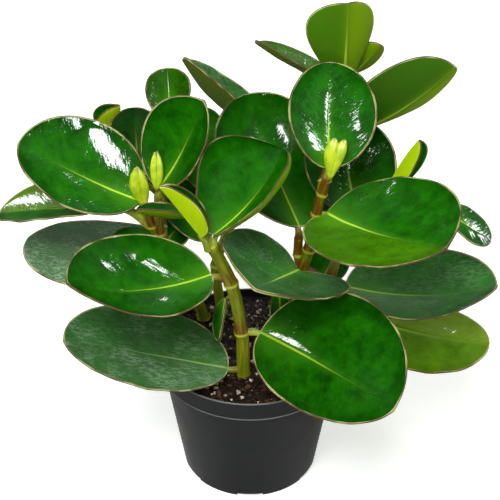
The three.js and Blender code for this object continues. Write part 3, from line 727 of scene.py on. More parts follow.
def shapeBlade(leaf, seed):  # points, faces, and what the materials read at each point
    build = leafBuild
    length = leaf["length"]
    small = length < build["smallLength"]
    stations = build["smallStations"] if small else build["stations"]
    acrossSteps = build["smallAcrossSteps"] if small else build["acrossSteps"]
    theta = np.linspace(0, math.pi, stations + 1)[1:-1]
    spread = np.linspace(1, -1, acrossSteps + 1)
    side = np.sign(spread) * np.abs(spread) ** build["crowding"]
    points, normals, half, share = bladeSurface(leaf, theta, side)
    across = half * side
    alongMm = length * share[:, None] * np.ones_like(side)
    rim = rimDistance(points, np.concatenate([points[:, 0], points[::-1, -1]]))
    swell = np.sin(theta)[:, None]
    points = points + bladeWaves(points, alongMm, across, side, swell, seed)[..., None] * normals
    above, below = faceHeights(across, side, share, swell)
    upper = points + above[..., None] * normals
    lower = points - below[..., None] * normals
    right = rimStrip(points[:, -1], normals[:, -1], unit(points[:, -1] - points[:, -2]))
    left = rimStrip(points[:, 0], normals[:, 0], unit(points[:, 0] - points[:, 1]))
    rings = np.concatenate([upper, right, lower[:, ::-1], left[:, ::-1]], axis=1)
    ends = bladeSurface(leaf, np.array([0.0, math.pi]), np.array([0.0]))[0][:, 0]
    faces = []
    allPoints = addLoft(np.zeros((0, 3)), faces, ends[0], rings, ends[1])

    # The same round as the rings: upper face, right rim, lower face, left rim
    strip = np.zeros((len(theta), len(build["rimTurns"])))
    fromTop = strip + build["rimFromTop"]
    around = {
        "along": (alongMm, alongMm[:, :1] + strip, alongMm, alongMm[:, :1] + strip),
        "across": (across, across[:, -1:] + strip, across[:, ::-1], across[:, :1] + strip),
        "rim": (rim, fromTop, rim[:, ::-1], fromTop[:, ::-1]),
        "upper": (np.ones_like(across), strip + 0.5, np.zeros_like(across), strip + 0.5),
    }
    atEnds = {"along": (0.0, length), "across": (0.0, 0.0), "rim": (0.0, 0.0), "upper": (0.5, 0.5)}
    values = {}
    for key, grids in around.items():
        atBase, atTip = atEnds[key]
        values[key] = np.concatenate([[atBase], np.concatenate(grids, axis=1).reshape(-1), [atTip]])
    values["share"] = values["along"] / length
    return allPoints, faces, values


def waxCoat(values, length, tint):  # its thickness, from the plain coat and the patches
    wax = np.full(len(values["along"]), tint["plainWax"])
    for centreShare, centreAcross, reach, breadth, degreesTurned, thick in tint["wax"]:
        ahead, aside = values["along"] - centreShare * length, values["across"] - centreAcross
        turn = math.radians(degreesTurned)
        lengthwise = (ahead * math.cos(turn) + aside * math.sin(turn)) / reach
        crosswise = (aside * math.cos(turn) - ahead * math.sin(turn)) / breadth
        wax = np.maximum(wax, thick * np.exp(-0.7 * (lengthwise**2 + crosswise**2)))
    return wax


def petioleCurve(leaf):  # its centre line, radii and shares, from the stem into the blade's base
    build = leafBuild
    along, _, up = leafAxes(leaf)
    radius = leaf["stalk"]
    start, end = np.array(leaf["root"], float), np.array(leaf["base"], float)
    span = np.linalg.norm(end - start)
    reach, drop = build["petioleReach"], build["petioleDrop"] * radius * up
    leaving = start + reach * (end - start) + np.array([0, 0, build["petioleLift"] * span])
    arriving = end - reach * span * along - drop
    under = end + build["petioleUnder"] * leaf["length"] * along - drop
    share = np.linspace(0, 1, build["petioleSteps"])
    u = share[:, None]
    curve = (1 - u) ** 3 * start + 3 * (1 - u) ** 2 * u * leaving
    curve = curve + 3 * (1 - u) * u**2 * arriving + u**3 * under
    radii = radius * (1 + build["petioleFoot"] * (1 - share) ** 3 - build["petioleTaper"] * share**3)
    return curve, radii, share


def addBract(points, faces, centres, petioleRadius):  # a slim scale that lies along the petiole's underside
    build = leafBuild
    steps = np.linspace(0, 1, build["bractSteps"])
    ahead = unit(centres[3] - centres[0])
    spine = centres[0] + np.outer(build["bractStart"] + steps * build["bractLength"], ahead)
    spine = spine - np.outer(petioleRadius * (0.55 + 0.5 * steps), [0, 0, 1])
    radii = build["bractRadius"] * np.sin(math.pi * (0.12 + 0.86 * steps)) ** 0.7
    return addLoft(points, faces, spine[0], tubePoints(spine, radii, build["bractSides"]), spine[-1])


def makeLeaf(name, leaf, tint, seed):
    points, faces, values = shapeBlade(leaf, seed)
    values["wax"] = waxCoat(values, leaf["length"], tint)
    leftShare = 1 / (1 + np.exp(-values["across"] / leafBuild["halvesBlend"]))
    for key in ("lime", "limeUnder", "frost", "paintedUnderShade", "paintedShade"):
        onLeft, onRight = np.broadcast_to(tint[key], 2)
        values[key] = onRight + (onLeft - onRight) * leftShare
    bladeEnd, bladeFaces = len(points), len(faces)

    centres, radii, petioleShare = petioleCurve(leaf)
    sides = leafBuild["petioleSides"]
    points = addLoft(points, faces, centres[0], tubePoints(centres, radii, sides), centres[-1])
    petioleEnd = len(points)
    if tint["bract"]:
        points = addBract(points, faces, centres, radii[0])
    total = len(points)
    for key in values:
        values[key] = np.concatenate([values[key], np.zeros(total - bladeEnd)])
    values["share"][bladeEnd:petioleEnd] = np.concatenate([[0], np.repeat(petioleShare, sides), [1]])
    values["rust"] = np.full(total, tint["rust"])
    values["rust"][petioleEnd:] = 1.0
    values["seed"] = np.full(total, seed * 3.7)
    values["leafLength"] = np.full(total, leaf["length"])
    faceSlots = [0] * bladeFaces + [1] * (len(faces) - bladeFaces)
    materials = [bladeMaterials[tint["finish"]], petioleMaterial]
    piece = meshPiece(name + "_skin", points, faces, materials, faceSlots, values)
    standsFor(piece, name)


for number, (leafName, leafShape) in enumerate(leafShapes.items()):
    makeLeaf(leafName, {**plainLeaf, **leafShape}, {**plainTint, **leafTints.get(leafName, {})}, number + 1)
print("leaves made:", len(leafShapes))


# Stems, with swollen ringed nodes. A path runs through the nodes from the foot or fork to the tip.

stemBuild = dict(
    sides=28,
    stepLength=0.9,
    nodeSwell=0.16,  # a share of the radius
    nodeLength=3.0,
    ringHeight=0.45,
    ringLength=0.7,
    ringReach=1.5,  # how far from a node its ring's colour goes
    tipRounding=2.5,
    ridges=5,
    ridgeDepth=0.02,
    rootedBelow=95.0,  # a path that starts lower goes on down into the soil
    footZ=45.0,
    footLean=-0.25,
)

# Each branch is its path and its radii at the foot and the tip
stemShapes = {
    "stem_front": [
        ([(-4, -24, 83), (-5, -25, 117), (-11, -27, 154), (-22, -28, 182)], (4.1, 3.6)),
    ],
    "stem_middle": [
        ([(-18, 33, 88), (-21, 35, 122), (-13, 42, 146), (-6, 60, 168), (-4, 84, 187)], (3.4, 2.6)),
    ],
    "stem_left": [
        ([(-29, 31, 85), (-39, 24, 116), (-50, 16, 146), (-58, 8, 171), (-61, 6, 185)], (3.8, 2.6)),
        ([(-50, 16, 146), (-53, 9, 165), (-54, 7, 180), (-53, 7, 194)], (3.0, 2.6)),
        ([(-50, 16, 146), (-53, 25, 158), (-52, 38, 173), (-47, 48, 192), (-47, 50, 208)], (2.8, 2.2)),
        ([(-52, 38, 173), (-66, 47, 181), (-79, 56, 190)], (2.3, 1.8)),
    ],
    "stem_right": [
        (
            [(23, 20, 83), (28, 16, 106), (31, 10, 134), (35, 8, 153),
             (39, 8, 179), (42, 8, 193), (45, 8, 206)],
            (4.4, 2.6),
        ),
        ([(31, 10, 134), (29, 13, 146), (29, 14, 159)], (2.9, 2.6)),
        ([(39, 8, 179), (43, 22, 192), (48, 40, 208), (54, 58, 226)], (2.8, 2.4)),
    ],
    "stem_back": [
        ([(34, 28, 82), (49, 28, 117), (57, 24, 157), (59, 24, 166)], (4.0, 2.8)),
        ([(57, 24, 157), (82, 25, 175), (103, 22, 180)], (2.6, 2.0)),
    ],
}

stemRust = {"stem_front": 1.0, "stem_middle": 0.4, "stem_left": 1.3, "stem_right": 1.9, "stem_back": 1.3}
stemPaint = dict(olive=0x5F6A04, pale=0x868A10, leafy=0x5F7A14, rust=0x6A3A08, ring=0xB9B440)


def makeStemMaterial():
    material, tree, surface, place = newMaterial("stemSkin", Roughness=0.32, Specular_IOR_Level=0.25)
    olive, pale, leafy, rust, ring = (paint(code) for code in stemPaint.values())
    above = readValue(tree, "aboveNode")
    around = times(tree, readValue(tree, "turn"), 9.0)
    lengthwise = times(tree, readValue(tree, "along"), 0.05)
    fibres = grainAt(tree, vectorOf(tree, around, lengthwise), 1.0, 3.0)
    patches = grainAt(tree, place, 45.0, 3.0)
    colour = mixColour(tree, ramp(tree, fibres, 0.35, 0.65), olive, pale)
    colour = mixColour(tree, ramp(tree, patches, 0.4, 0.7, 0.0, 0.6), colour, leafy)
    # Rust just above a node and in blotches, a pale ring on the node itself
    nearAbove = times(tree, ramp(tree, above, 0.5, 2.0), ramp(tree, above, 4.0, 18.0, 1.0, 0.0))
    blotches = ramp(tree, patches, 0.5, 0.62, 0.0, 0.35)
    rusty = times(tree, compute(tree, "MAXIMUM", nearAbove, blotches, clamp=True), readValue(tree, "rust"))
    colour = mixColour(tree, times(tree, rusty, ramp(tree, fibres, 0.4, 0.62, 1.0, 0.25)), colour, rust)
    onNode = ramp(tree, compute(tree, "ABSOLUTE", above), 0.5, 1.3, 0.8, 0.0)
    colour = mixColour(tree, onNode, colour, ring)
    tree.links.new(colour, surface.inputs["Base Color"])
    height = plus(tree, fibres, times(tree, grainAt(tree, place, 1200.0), 0.3))
    setBump(tree, surface, height, 0.25, 0.4 * mm)
    return material


def splineThrough(nodes, step, samples=60):  # the centripetal curve through the nodes, in even steps
    ghosts = [2 * nodes[0] - nodes[1], *nodes, 2 * nodes[-1] - nodes[-2]]
    pieces = []
    for i in range(len(nodes) - 1):
        p = ghosts[i:i + 4]
        d0, d1, d2 = (np.linalg.norm(p[k + 1] - p[k]) ** 0.5 for k in range(3))
        start = ((p[1] - p[0]) / d0 - (p[2] - p[0]) / (d0 + d1) + (p[2] - p[1]) / d1) * d1
        end = ((p[2] - p[1]) / d1 - (p[3] - p[1]) / (d1 + d2) + (p[3] - p[2]) / d2) * d1
        t = np.linspace(0, 1, samples, endpoint=False)[:, None]
        a = 2 * p[1] - 2 * p[2] + start + end
        b = -3 * p[1] + 3 * p[2] - 2 * start - end
        pieces.append(a * t**3 + b * t**2 + start * t + p[1])
    dense = np.concatenate(pieces + [nodes[-1:]])
    reach = np.concatenate([[0], np.cumsum(np.linalg.norm(np.diff(dense, axis=0), axis=1))])
    marks = np.linspace(0, reach[-1], int(reach[-1] / step) + 2)
    even = np.stack([np.interp(marks, reach, dense[:, k]) for k in range(3)], axis=1)
    return even, marks, reach[::samples]


def growBranch(path, radius):  # centres, radii, lengths from the start, and lengths above the last node
    build = stemBuild
    nodes = np.array(path, float)
    rooted = nodes[0][2] < build["rootedBelow"]
    if rooted:
        foot = nodes[0] + build["footLean"] * (nodes[1] - nodes[0])
        nodes = np.concatenate([[[foot[0], foot[1], build["footZ"]]], nodes])
    centres, marks, nodeMarks = splineThrough(nodes, build["stepLength"])
    gap = marks[:, None] - nodeMarks[None, 1:]
    signed = gap[np.arange(len(marks)), np.abs(gap).argmin(axis=1)]
    below = marks[:, None] - nodeMarks[None, 2 if rooted else 0:]
    sinceNode = np.where(below >= 0, below, 1e3).min(axis=1)
    swell = build["nodeSwell"] * np.exp(-((signed / build["nodeLength"]) ** 2))
    ring = build["ringHeight"] * np.exp(-((signed / build["ringLength"]) ** 2))
    radii = (radius[0] + (radius[1] - radius[0]) * (marks / marks[-1])) * (1 + swell) + ring
    tip = np.clip((marks[-1] - marks) / build["tipRounding"], 0, 1)
    radii = radii * np.sqrt(np.clip(1 - (1 - tip) ** 2, 0.02, 1))
    return centres, radii, marks, np.where(np.abs(signed) < build["ringReach"], signed, sinceNode)


def makeStem(name, branches, material, rust):
    sides = stemBuild["sides"]
    points, faces = np.zeros((0, 3)), []
    values = {"aboveNode": [], "turn": [], "along": []}
    around = np.abs(np.linspace(-1, 1, sides, endpoint=False))
    for path, radius in branches:
        centres, radii, marks, aboveNode = growBranch(path, radius)
        rings = tubePoints(centres, radii, sides, stemBuild["ridges"], stemBuild["ridgeDepth"])
        points = addLoft(points, faces, centres[0], rings, centres[-1])
        values["aboveNode"] += [[0], np.repeat(aboveNode, sides), [0]]
        values["turn"] += [[0], np.tile(around, len(rings)), [0]]
        values["along"] += [[0], np.repeat(marks, sides), [0]]
    values = {key: np.concatenate(parts) for key, parts in values.items()}
    values["rust"] = np.full(len(points), rust)
    standsFor(meshPiece(name + "_skin", points, faces, [material], values=values), name)


stemMaterial = makeStemMaterial()
for stemName, stemBranches in stemShapes.items():
    makeStem(stemName, stemBranches, stemMaterial, stemRust[stemName])
print("stems made:", len(stemShapes))


# Buds: pairs of folded young leaves. A lobe leans towards +X and +Y and bows sideways, and widest above
# 1 moves its widest part towards the tip.

budShapes = {
    "bud_left": dict(
        base=(-61, 4, 185.3), length=28, depth=6, widest=1.2,
        lobes=[dict(leans=(-10, 4), bow=-2.6, width=7), dict(leans=(-9, 7), bow=1.9, width=5.5)],
    ),
    "bud_left_inner": dict(
        base=(-54, 4, 197), length=24, depth=4, widest=1,
        lobes=[dict(leans=(-2, 20), bow=-1.1, width=4.5), dict(leans=(1, 23), bow=1.6, width=4.5)],
    ),
    "bud_right": dict(
        base=(46, 3, 205), length=26, depth=6, widest=1.5,
        lobes=[dict(leans=(6, 20), bow=-1.2, width=8), dict(leans=(21, 24), bow=-0.5, width=7.5)],
    ),
}

budBuild = dict(sides=28, steps=30, bluntness=0.6)  # bluntness below 1 fills a lobe out towards its ends
budPaint = dict(lime=0xA4C408, pale=0xC8DC24, base=0x6E3A12, tip=0x7A5A18)


def makeBudMaterial():
    material, tree, surface, place = newMaterial("budSkin", Roughness=0.35, Subsurface_Weight=0.15)
    surface.inputs["Subsurface Radius"].default_value = (0.002, 0.004, 0.001)
    lime, pale, base, tip = (paint(code) for code in budPaint.values())
    share = readValue(tree, "share")
    colour = mixColour(tree, ramp(tree, grainAt(tree, place, 160.0, 2.0), 0.35, 0.65), lime, pale)
    colour = mixColour(tree, ramp(tree, share, 0.02, 0.16, 0.9, 0.0), colour, base)
    colour = mixColour(tree, ramp(tree, share, 0.86, 1.0, 0.0, 0.7), colour, tip)
    tree.links.new(colour, surface.inputs["Base Color"])
    setBump(tree, surface, grainAt(tree, place, 800.0), 0.15, 0.3 * mm)
    return material


def makeBud(name, bud, material):
    build = budBuild
    circle = circlePoints(build["sides"])
    share = np.linspace(0, 1, build["steps"] + 1)[1:-1]
    swell = np.sin(math.pi * share ** bud["widest"]) ** build["bluntness"]
    base = np.array(bud["base"], float)
    points, faces, shares = np.zeros((0, 3)), [], []
    for lobe in bud["lobes"]:
        axis = unit(np.array([math.tan(math.radians(lean)) for lean in lobe["leans"]] + [1.0]))
        across = unit(np.array([1.0, 0, 0]) - axis[0] * axis)
        out = np.cross(axis, across)
        bow = lobe["bow"] * np.sin(math.pi * share)
        centres = base + np.outer(share * bud["length"], axis) + np.outer(bow, across)
        wide = np.outer(swell * lobe["width"] / 2, circle[:, 0])
        deep = np.outer(swell * bud["depth"] / 2, circle[:, 1])
        rings = centres[:, None] + wide[..., None] * across + deep[..., None] * out
        points = addLoft(points, faces, base, rings, base + bud["length"] * axis)
        shares += [[0], np.repeat(share, build["sides"]), [1]]
    values = {"share": np.concatenate(shares)}
    standsFor(meshPiece(name + "_skin", points, faces, [material], values=values), name)


budMaterial = makeBudMaterial()
for budName, budShape in budShapes.items():
    makeBud(budName, budShape, budMaterial)
print("buds made:", len(budShapes))


def makeGrainGroup():  # fine pebbled grain with soft broad variation, for moulded plastic and soil
    group, given, put = newGroup(
        "fineGrain", {"Vector": "Vector", "Scale": "Float"}, {"Height": "Float", "Broad": "Float"}
    )
    group.links.new(grainAt(group, given["Vector"], given["Scale"], 2.0), put["Height"])
    broad = grainAt(group, given["Vector"], times(group, given["Scale"], 0.03), 3.0)
    group.links.new(broad, put["Broad"])
    return group


grainGroup = makeGrainGroup()


# The pot

potShape = dict(
    segments=180,
    baseRadius=41.4,
    wallTopRadius=53.2,
    wallTopZ=73.0,
    bandBottomRadius=55.9,
    bandBottomZ=74.2,
    lipRadius=57.5,
    lipZ=86.5,
    height=88.0,
    wall=1.3,
    floor=2.2,
    footRounding=1.0,
    beadRadius=0.45,  # the rolled lower edge of the band
    drainHoles=6,
    drainHoleRadius=4.5,
    drainHoleCircle=24.0,
    drainHoleSides=40,
    notches=6,
    notchWidth=16.0,
    notchHeight=2.0,
    notchDepth=9.0,
)
# the last colour is the painted highlight on the band's bead and the lip's top
potPaint = dict(dark=0x121314, light=0x18191B, foot=0x17181A, glossWearAndPaintedHighlight=0x77797C)
potToneAndPaintedHighlights = dict(
    footTo=20.0,  # how high the foot's tone reaches
    footAmount=0.6,
    beadAbove=0.6,  # the painted highlight line along the band's bead, above the band's lower edge
    beadHalfWidth=(0.2, 0.6),  # full painted highlight, then fading out
    beadAmount=0.4,
    lipFrom=(87.2, 87.6),  # the painted highlight along the lip, fading in
    lipAmount=0.5,
)


def makePotMaterial():
    finish = dict(Roughness=0.42, Sheen_Weight=0.18, Sheen_Roughness=0.3)
    material, tree, surface, place = newMaterial("pottedPlastic", **finish)
    dark, light, foot, glossWearAndPaintedHighlight = (paint(code) for code in potPaint.values())
    grain = useGroup(tree, grainGroup, {"Vector": place, "Scale": 1500.0})
    colour = mixColour(tree, ramp(tree, grain["Broad"], 0.3, 0.7), dark, light)
    height = addNode(tree, "ShaderNodeSeparateXYZ", {0: place}).outputs["Z"]
    toneAndHighlights = potToneAndPaintedHighlights
    onFoot = ramp(tree, height, 0.0, toneAndHighlights["footTo"] * mm, toneAndHighlights["footAmount"], 0.0)
    colour = mixColour(tree, onFoot, colour, foot)
    # Painted highlights: a light line along the band's bead and another along the lip's top
    beadHeight = (potShape["bandBottomZ"] + toneAndHighlights["beadAbove"]) * mm
    fromBead = compute(tree, "ABSOLUTE", compute(tree, "SUBTRACT", height, beadHeight))
    whole, gone = toneAndHighlights["beadHalfWidth"]
    paintedBeadHighlight = ramp(tree, fromBead, whole * mm, gone * mm, toneAndHighlights["beadAmount"], 0.0)
    start, full = toneAndHighlights["lipFrom"]
    paintedLipHighlight = ramp(tree, height, start * mm, full * mm, 0.0, toneAndHighlights["lipAmount"])
    colour = mixColour(tree, compute(tree, "MAXIMUM", paintedBeadHighlight, paintedLipHighlight), colour, glossWearAndPaintedHighlight)
    tree.links.new(colour, surface.inputs["Base Color"])
    tree.links.new(ramp(tree, grain["Broad"], 0.3, 0.7, 0.38, 0.5), surface.inputs["Roughness"])
    setBump(tree, surface, grain["Height"], 0.12, 0.2 * mm)
    return material


def arcPoints(centre, radius, start, end, count):
    turns = np.radians(np.linspace(start, end, count))
    return [(centre[0] + radius * math.cos(t), centre[1] + radius * math.sin(t)) for t in turns]


def potInside():  # radius and height up the inner wall, from the floor to the lip
    shape = potShape
    wall = shape["wall"]
    slope = (shape["wallTopRadius"] - shape["baseRadius"]) / shape["wallTopZ"]
    return [
        (shape["baseRadius"] + slope * shape["floor"] - wall, shape["floor"]),
        (shape["wallTopRadius"] - wall, shape["wallTopZ"]),
        (shape["bandBottomRadius"] - wall, shape["bandBottomZ"] + wall),
        (shape["lipRadius"] - wall, shape["lipZ"]),
    ]


def potOutside():  # up the outer wall and over the rolled lip
    shape = potShape
    rounding, bead, lip = shape["footRounding"], shape["beadRadius"], shape["wall"] / 2
    wallTop, wallTopZ = shape["wallTopRadius"], shape["wallTopZ"]
    band, bandZ = shape["bandBottomRadius"], shape["bandBottomZ"]
    return [
        *arcPoints((shape["baseRadius"] - rounding, rounding), rounding, -90, -8, 7),
        (wallTop - 0.05, wallTopZ - 0.6),  # the crease under the band
        (wallTop + 0.15, wallTopZ + 0.05),
        (band - 0.5, bandZ - 0.25),
        *arcPoints((band - 0.3, bandZ + 0.25), bead, -80, 60, 9),
        (band - 0.2, bandZ + 1.1),  # the fine groove above its bead
        (band - 0.22, bandZ + 1.5),
        (shape["lipRadius"] - 0.1, shape["lipZ"] - 1.2),
        *arcPoints((shape["lipRadius"] - lip, shape["height"] - lip), lip, 0, 180, 11),
    ]


def freezeMesh(piece):  # the modifiers' result as the piece's own plain mesh
    bpy.context.view_layer.update()
    depsgraph = bpy.context.evaluated_depsgraph_get()
    evaluated = piece.evaluated_get(depsgraph)
    made = bpy.data.meshes.new_from_object(evaluated, preserve_all_data_layers=True, depsgraph=depsgraph)
    piece.modifiers.clear()
    piece.data = made


def placeRound(radius, turn):
    return np.array([radius * math.cos(turn), radius * math.sin(turn), 0]) * mm


def potCutters():  # the drain holes and the slots under the foot
    shape = potShape
    cutters = []
    holeSize = dict(radius=shape["drainHoleRadius"] * mm, depth=4 * shape["floor"] * mm)
    for k in range(shape["drainHoles"]):
        at = placeRound(shape["drainHoleCircle"], 2 * math.pi * (k + 0.5) / shape["drainHoles"])
        bpy.ops.mesh.primitive_cylinder_add(vertices=shape["drainHoleSides"], location=at, **holeSize)
        cutters.append(bpy.context.object)
    for k in range(shape["notches"]):
        turn = 2 * math.pi * k / shape["notches"] - math.pi / 2
        bpy.ops.mesh.primitive_cube_add(
            size=1, location=placeRound(shape["baseRadius"], turn), rotation=(0, 0, turn)
        )
        block = bpy.context.object
        block.scale = np.array([shape["notchDepth"], shape["notchWidth"], 2 * shape["notchHeight"]]) * mm
        cutters.append(block)
    bpy.context.view_layer.update()
    return cutters


def makePot():
    circle = circlePoints(potShape["segments"])
    section = potOutside() + potInside()[::-1]
    rings = [levelRing(radius * circle, height) for radius, height in section]
    faces = []
    points = addLoft(np.zeros((0, 3)), faces, [0, 0, 0], rings, [0, 0, potShape["floor"]])
    piece = meshPiece("pot_skin", points, faces, [makePotMaterial()])
    cutters = potCutters()
    for cutter in cutters:
        cut = piece.modifiers.new("opening", "BOOLEAN")
        cut.operation = "DIFFERENCE"
        cut.solver = "EXACT"
        cut.object = cutter
    freezeMesh(piece)
    for cutter in cutters:
        bpy.data.objects.remove(cutter)
    piece.data.polygons.foreach_set("use_smooth", [True] * len(piece.data.polygons))
    piece.data.set_sharp_from_angle(angle=math.radians(40))
    standsFor(piece, "pot")


makePot()
print("pot made")


# The potting mix: a dark uneven bed, crumbs, bark and white mineral grains

soilShape = dict(
    edgeZ=83.0,
    crownZ=84.6,
    bumpHeight=0.6,
    bumpSpacing=15.0,
    lumpHeight=0.35,
    lumpSpacing=5.0,
    fineHeight=0.2,
    fineSpacing=2.2,
    rings=70,
    segments=180,
    clearance=0.3,
)

crumbSets = {
    "soil_crumbs": dict(
        perSquareMetre=260000.0, small=0.7, large=2.0, flat=0.8, seed=3, sink=-0.1, look="peatCrumb",
    ),
    "soil_bark": dict(
        perSquareMetre=75000.0, small=1.0, large=4.2, flat=0.4, seed=11, sink=0.1, look="barkChip",
    ),
    "soil_grains": dict(
        perSquareMetre=19000.0, small=0.9, large=2.9, flat=0.8, seed=23, sink=0.3, look="mineralGrain",
    ),
}
crumbBed = dict(rings=24, segments=64)  # the surface that they are strewn over


soilLooks = {
    "pottingMix": dict(dark=0x0C0806, light=0x2A1D15, roughness=0.95, grain=600.0),
    "peatCrumb": dict(dark=0x0A0502, light=0x26140A, roughness=0.95, grain=900.0),
    "barkChip": dict(dark=0x140A06, light=0x523420, roughness=0.8, grain=420.0),
    "mineralGrain": dict(dark=0x8E8068, light=0xD8CFBC, roughness=0.8, grain=700.0),
}


def makeSoilMaterial(name):
    look = soilLooks[name]
    material, tree, surface, place = newMaterial(name, Roughness=look["roughness"], Specular_IOR_Level=0.1)
    grain = useGroup(tree, grainGroup, {"Vector": place, "Scale": look["grain"]})
    grainy = ramp(tree, grain["Height"], 0.35, 0.65)
    colour = mixColour(tree, grainy, paint(look["dark"]), paint(look["light"]))
    tree.links.new(colour, surface.inputs["Base Color"])
    setBump(tree, surface, grain["Height"], 0.6, 0.6 * mm)
    return material


def soilHeight(flat):  # of the bed's surface over points in the plane
    shape = soilShape
    x, y = np.transpose(flat)
    share = np.hypot(x, y) / potShape["lipRadius"]
    wave = 2 * math.pi / shape["bumpSpacing"]
    bumps = shape["bumpHeight"] * np.sin(wave * x) * np.cos(wave * y)
    return shape["crownZ"] + (shape["edgeZ"] - shape["crownZ"]) * share**2 + bumps


def innerRadius(z):  # of the pot's wall at a height
    radii, heights = np.transpose(potInside())
    return float(np.interp(z, heights, radii))


def makeSoil():
    shape = soilShape
    gap = shape["clearance"]
    circle = circlePoints(shape["segments"])
    bottom = potShape["floor"] + gap
    rim = innerRadius(shape["edgeZ"]) - gap
    rings = []
    for z in (bottom, potShape["wallTopZ"], potShape["bandBottomZ"] + potShape["wall"] + gap):
        rings.append(levelRing((innerRadius(z) - gap) * circle, z))
    rings.append(levelRing(rim * circle, shape["edgeZ"] - shape["bumpHeight"]))
    for i in range(1, shape["rings"]):
        flat = rim * (1 - i / shape["rings"]) * circle
        place = levelRing(flat, 0.0)
        lumps = shape["lumpHeight"] * waves(7, place, shape["lumpSpacing"], 8)
        fine = shape["fineHeight"] * waves(8, place, shape["fineSpacing"], 8)
        rings.append(levelRing(flat, soilHeight(flat) + lumps + fine))
    faces = []
    crown = [0, 0, soilHeight((0.0, 0.0))]
    points = addLoft(np.zeros((0, 3)), faces, [0, 0, bottom], rings, crown)
    standsFor(meshPiece("soil_bed", points, faces, [makeSoilMaterial("pottingMix")]), "soil")
    return rim


def crumbTree(name, material):  # scatters lumps over a surface, each turned and squashed by the seed
    floats = {key: "Float" for key in ("Density", "Smallest", "Largest", "Flatness", "Sink")}
    inputs = {"Geometry": "Geometry", **floats, "Seed": "Int"}
    tree, given, put = newGroup(name, inputs, {"Geometry": "Geometry"}, "GeometryNodeTree")
    seed = given["Seed"]

    def anyBetween(low, high):  # a random vector for each lump
        sockets = {0: low, 1: high, "Seed": seed}
        return addNode(tree, "FunctionNodeRandomValue", sockets, data_type="FLOAT_VECTOR").outputs[0]

    strewn = {"Mesh": given["Geometry"], "Density": given["Density"], "Seed": seed}
    spots = addNode(tree, "GeometryNodeDistributePointsOnFaces", strewn)
    lump = addNode(tree, "GeometryNodeMeshIcoSphere", {"Radius": 0.5, "Subdivisions": 2})
    position = addNode(tree, "GeometryNodeInputPosition")
    rough = addNode(tree, "ShaderNodeTexNoise", {"Vector": position.outputs[0], "Scale": 1.7, "Detail": 1.0})
    centred = {0: rough.outputs["Color"], 1: (0.5, 0.5, 0.5)}
    push = addNode(tree, "ShaderNodeVectorMath", centred, operation="SUBTRACT")
    dented = {"Geometry": lump.outputs["Mesh"], "Offset": push.outputs[0]}
    shaped = addNode(tree, "GeometryNodeSetPosition", dented)
    between = {2: given["Smallest"], 3: given["Largest"], "Seed": seed}
    size = addNode(tree, "FunctionNodeRandomValue", between, data_type="FLOAT")
    uneven = {0: anyBetween((0.6, 0.6, 0.6), (1.5, 1.2, 1.3)), 1: vectorOf(tree, 1.0, 1.0, given["Flatness"])}
    scale = addNode(tree, "ShaderNodeVectorMath", uneven, operation="MULTIPLY")
    sized = {0: scale.outputs[0], "Scale": size.outputs[1]}
    scale = addNode(tree, "ShaderNodeVectorMath", sized, operation="SCALE")
    lumps = {
        "Points": spots.outputs["Points"],
        "Instance": shaped.outputs[0],
        "Rotation": anyBetween((-0.35, -0.35, 0.0), (0.35, 0.35, 6.3)),
        "Scale": scale.outputs[0],
    }
    placed = addNode(tree, "GeometryNodeInstanceOnPoints", lumps)
    drop = vectorOf(tree, z=given["Sink"])
    lower = {"Instances": placed.outputs[0], "Translation": drop, "Local Space": False}
    lowered = addNode(tree, "GeometryNodeTranslateInstances", lower)
    plain = addNode(tree, "GeometryNodeRealizeInstances", {0: lowered.outputs[0]})
    smooth = addNode(tree, "GeometryNodeSetShadeSmooth", {0: plain.outputs[0], "Shade Smooth": True})
    dressed = addNode(tree, "GeometryNodeSetMaterial", {"Geometry": smooth.outputs[0], "Material": material})
    tree.links.new(dressed.outputs[0], put["Geometry"])
    return tree


def scatterCrumbs(name, settings, radius):
    rows, count = crumbBed["rings"], crumbBed["segments"]
    rings, faces = [], []
    for i in range(rows):
        flat = (radius - settings["large"] / 2) * (1 - i / rows) * circlePoints(count)
        rings.append(levelRing(flat, soilHeight(flat)))
    points = np.concatenate([*rings, [[0, 0, soilHeight((0.0, 0.0))]]])
    for i in range(rows - 1):
        for j in range(count):
            k = (j + 1) % count
            faces.append((i * count + j, i * count + k, (i + 1) * count + k, (i + 1) * count + j))
    last = (rows - 1) * count
    faces += [(last + j, last + (j + 1) % count, last + count) for j in range(count)]
    piece = meshPiece(name, points, faces, [])
    tree = crumbTree(name + "_scatter", makeSoilMaterial(settings["look"]))
    modifier = piece.modifiers.new("scatter", "NODES")
    modifier.node_group = tree
    chosen = {
        "Density": settings["perSquareMetre"],
        "Smallest": settings["small"] * mm,
        "Largest": settings["large"] * mm,
        "Flatness": settings["flat"],
        "Sink": settings["sink"] * mm,
        "Seed": settings["seed"],
    }
    for item in tree.interface.items_tree:
        if item.in_out == "INPUT" and item.name in chosen:
            modifier[item.identifier] = chosen[item.name]
    freezeMesh(piece)
    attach(piece, root)
    print(name, len(piece.data.polygons), "faces")


soilRim = makeSoil()
for crumbName, crumbSettings in crumbSets.items():
    scatterCrumbs(crumbName, crumbSettings, soilRim)
print("potting mix made")


# Floor, lights and camera

stageSettings = dict(
    floorSize=12.0,
    floorTone=0.97,
    floorGlow=0.42,  # lifts the floor towards white where the camera sees it
    floorSheen=0.25,  # the floor's tone in what gloss mirrors of it
    backdrop=1.0,  # what the camera sees of the surroundings
    ambient=0.42,  # what they light matt surfaces with
    sheen=0.03,  # what gloss mirrors of them
)


